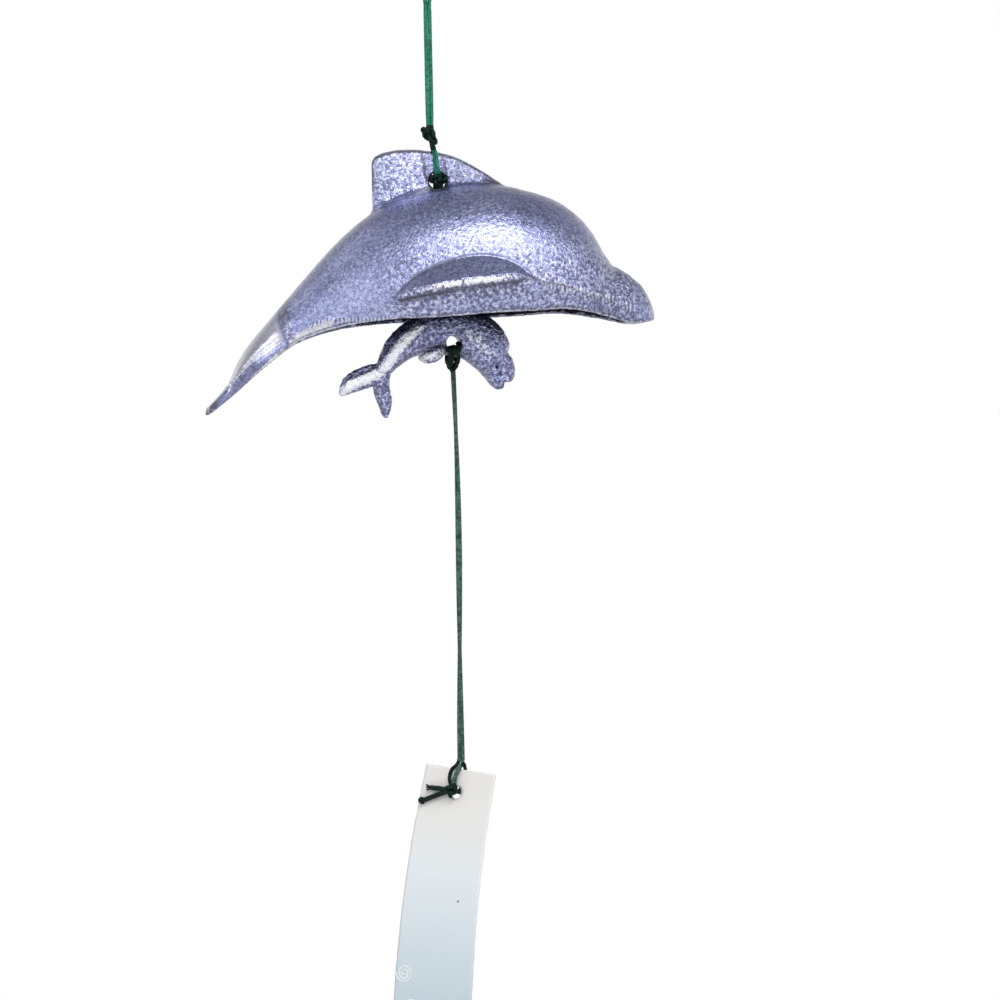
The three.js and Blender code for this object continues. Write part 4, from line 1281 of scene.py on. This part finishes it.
def detailCalf(shape, tree, sharp):
    layers = [shape.verts.layers.float.new(key) for key in layerNames]
    holeX, holeZ = spots["calfHole"]
    moves = []
    for vert in shape.verts:
        x, y, z = vert.co
        fromHole = math.hypot(x - holeX, z - holeZ) - calfMarks["hole"]
        lift = noise.noise(vert.co / 1.3) * 0.15 + noise.noise(vert.co / 0.65) * 0.09
        ridge, shadow, mouth, line, fin, cheek, fluke = (
            strokeAlong(x, z, calfMarks[key], reach) for key, reach in calfMarks["reach"].items())
        side = min(max(abs(vert.normal.y) / 0.35, 0), 1)
        lift += (0.22 * ridge - 0.16 * shadow - 0.10 * mouth - 0.15 * line) * side
        # painted highlights on ridge, flipper, cheek and sideways faces; painted shade on its lines, on faces
        # turned up or down, over the far fluke and in a ring round the hole
        under = min(max((-vert.normal.z - 0.45) / 0.4, 0), 1)
        wear = max(0.85 * ridge, 0.55 * fin, 0.35 * cheek, 0.14) * side
        ring = 1 - max(fromHole, 0) / calfMarks["ring"]
        lines = max(0.5 * shadow, 0.05 * mouth, 0.6 * line) * side
        dirt = max(0.9 * ring, lines, 0.3 * under, 0.4 * (1 - side), 0.35 * fluke)
        for layer, value in zip(layers, (1.4 - 0.3 * ridge * side, 0.0, wear, dirt)):
            vert[layer] = min(max(value, 0), 1.5)
        moves.append(vert.normal * (lift if fromHole > 0.2 else 0))
    for vert, move in zip(shape.verts, moves):
        vert.co += move


# Faces of the cavity and the holes: they see another wall across, or have little iron over them
def bareFaces(shape, tree, settings):
    for face in shape.faces:
        middle = face.calc_center_median()
        if abs(middle.y) > settings["bareWithin"] or middle.x < settings["bareFrom"]:
            continue
        if settings["holeRadius"]:
            fromHole = math.hypot(middle.x - spots["calfHole"][0], middle.z - spots["calfHole"][1])
            face.material_index = 1 if fromHole < settings["holeRadius"] else 0
            continue
        across = tree.ray_cast(middle + face.normal * 0.3, face.normal)[3]
        bare = across is not None and across > settings["bareAcross"]
        outward = face.normal.y * (1 if middle.y > 0 else -1)
        if not bare and face.normal.z < -0.25 and outward < 0.1 and middle.z > lineAt(rim, middle.x) + 1.2:
            over = tree.ray_cast(middle - face.normal * 0.15, Vector((0, 0, 1)))[3]
            bare = over is not None and over < 6.5
        face.material_index = 1 if bare else 0


castings = {
    "bell": {
        "name": "bellCasting",
        "node": "dolphin_bell",
        "shift": (-1.6, 0, 55.7),  # its marks are measured from the fin's cross hole
        "voxel": 0.84,
        "sharp": 35,          # degrees at an edge that is kept crisp
        "edgeReach": 0.9,     # how near an edge isn't smoothed
        "rounds": 4,          # smoothing away from the edges, then of all, then of the fin's foot
        "edgeRounds": 1,
        "fillets": 24,
        "bareWithin": 21.3,   # bare iron lies within this far from the middle
        "bareFrom": -37,      # and ahead of this
        "bareAcross": 4.0,    # where another wall is this far across
        "holeRadius": 0,
    },
    "calf": {
        "name": "calfCasting",
        "node": "calf_clapper",
        "shift": (0, 0, 0),
        "voxel": 0.26,
        "sharp": 35,
        "edgeReach": 0.6,
        "rounds": 3,
        "edgeRounds": 1,
        "fillets": 0,
        "bareWithin": 9,
        "bareFrom": 0,
        "bareAcross": 4.0,
        "holeRadius": 2.15,
    },
}


def castPiece(body, settings, fine, detail, paint, iron):
    exact = copyCasting(settings)
    sharp = sharpPoints(exact, settings["sharp"])
    piece, shape = remeshCasting(settings["name"], exact, settings)
    refine(shape, fine)
    tree = fitTo(shape, exact, sharp, settings)
    detail(shape, tree, sharp)
    bareFaces(shape, tree, settings)
    for face in shape.faces:
        face.smooth = True
    bmesh.ops.translate(shape, verts=shape.verts, vec=-Vector(settings["shift"]))
    bmesh.ops.scale(shape, verts=shape.verts, vec=(mm, mm, mm))
    shape.to_mesh(piece.data)
    piece.data.materials.append(paint)
    piece.data.materials.append(iron)
    print(settings["name"], len(shape.faces), "faces")
    shape.free()
    exact.free()
    settle(piece, body, "painted_iron", settings["node"])


bareIron = ironMaterial(ironLook)
castPiece("bell", castings["bell"], bellFine, detailBell, paintMaterial("bellPaint", bellLook), bareIron)
castPiece("calf", castings["calf"], calfFine, detailCalf, paintMaterial("calfPaint", calfLook), bareIron)
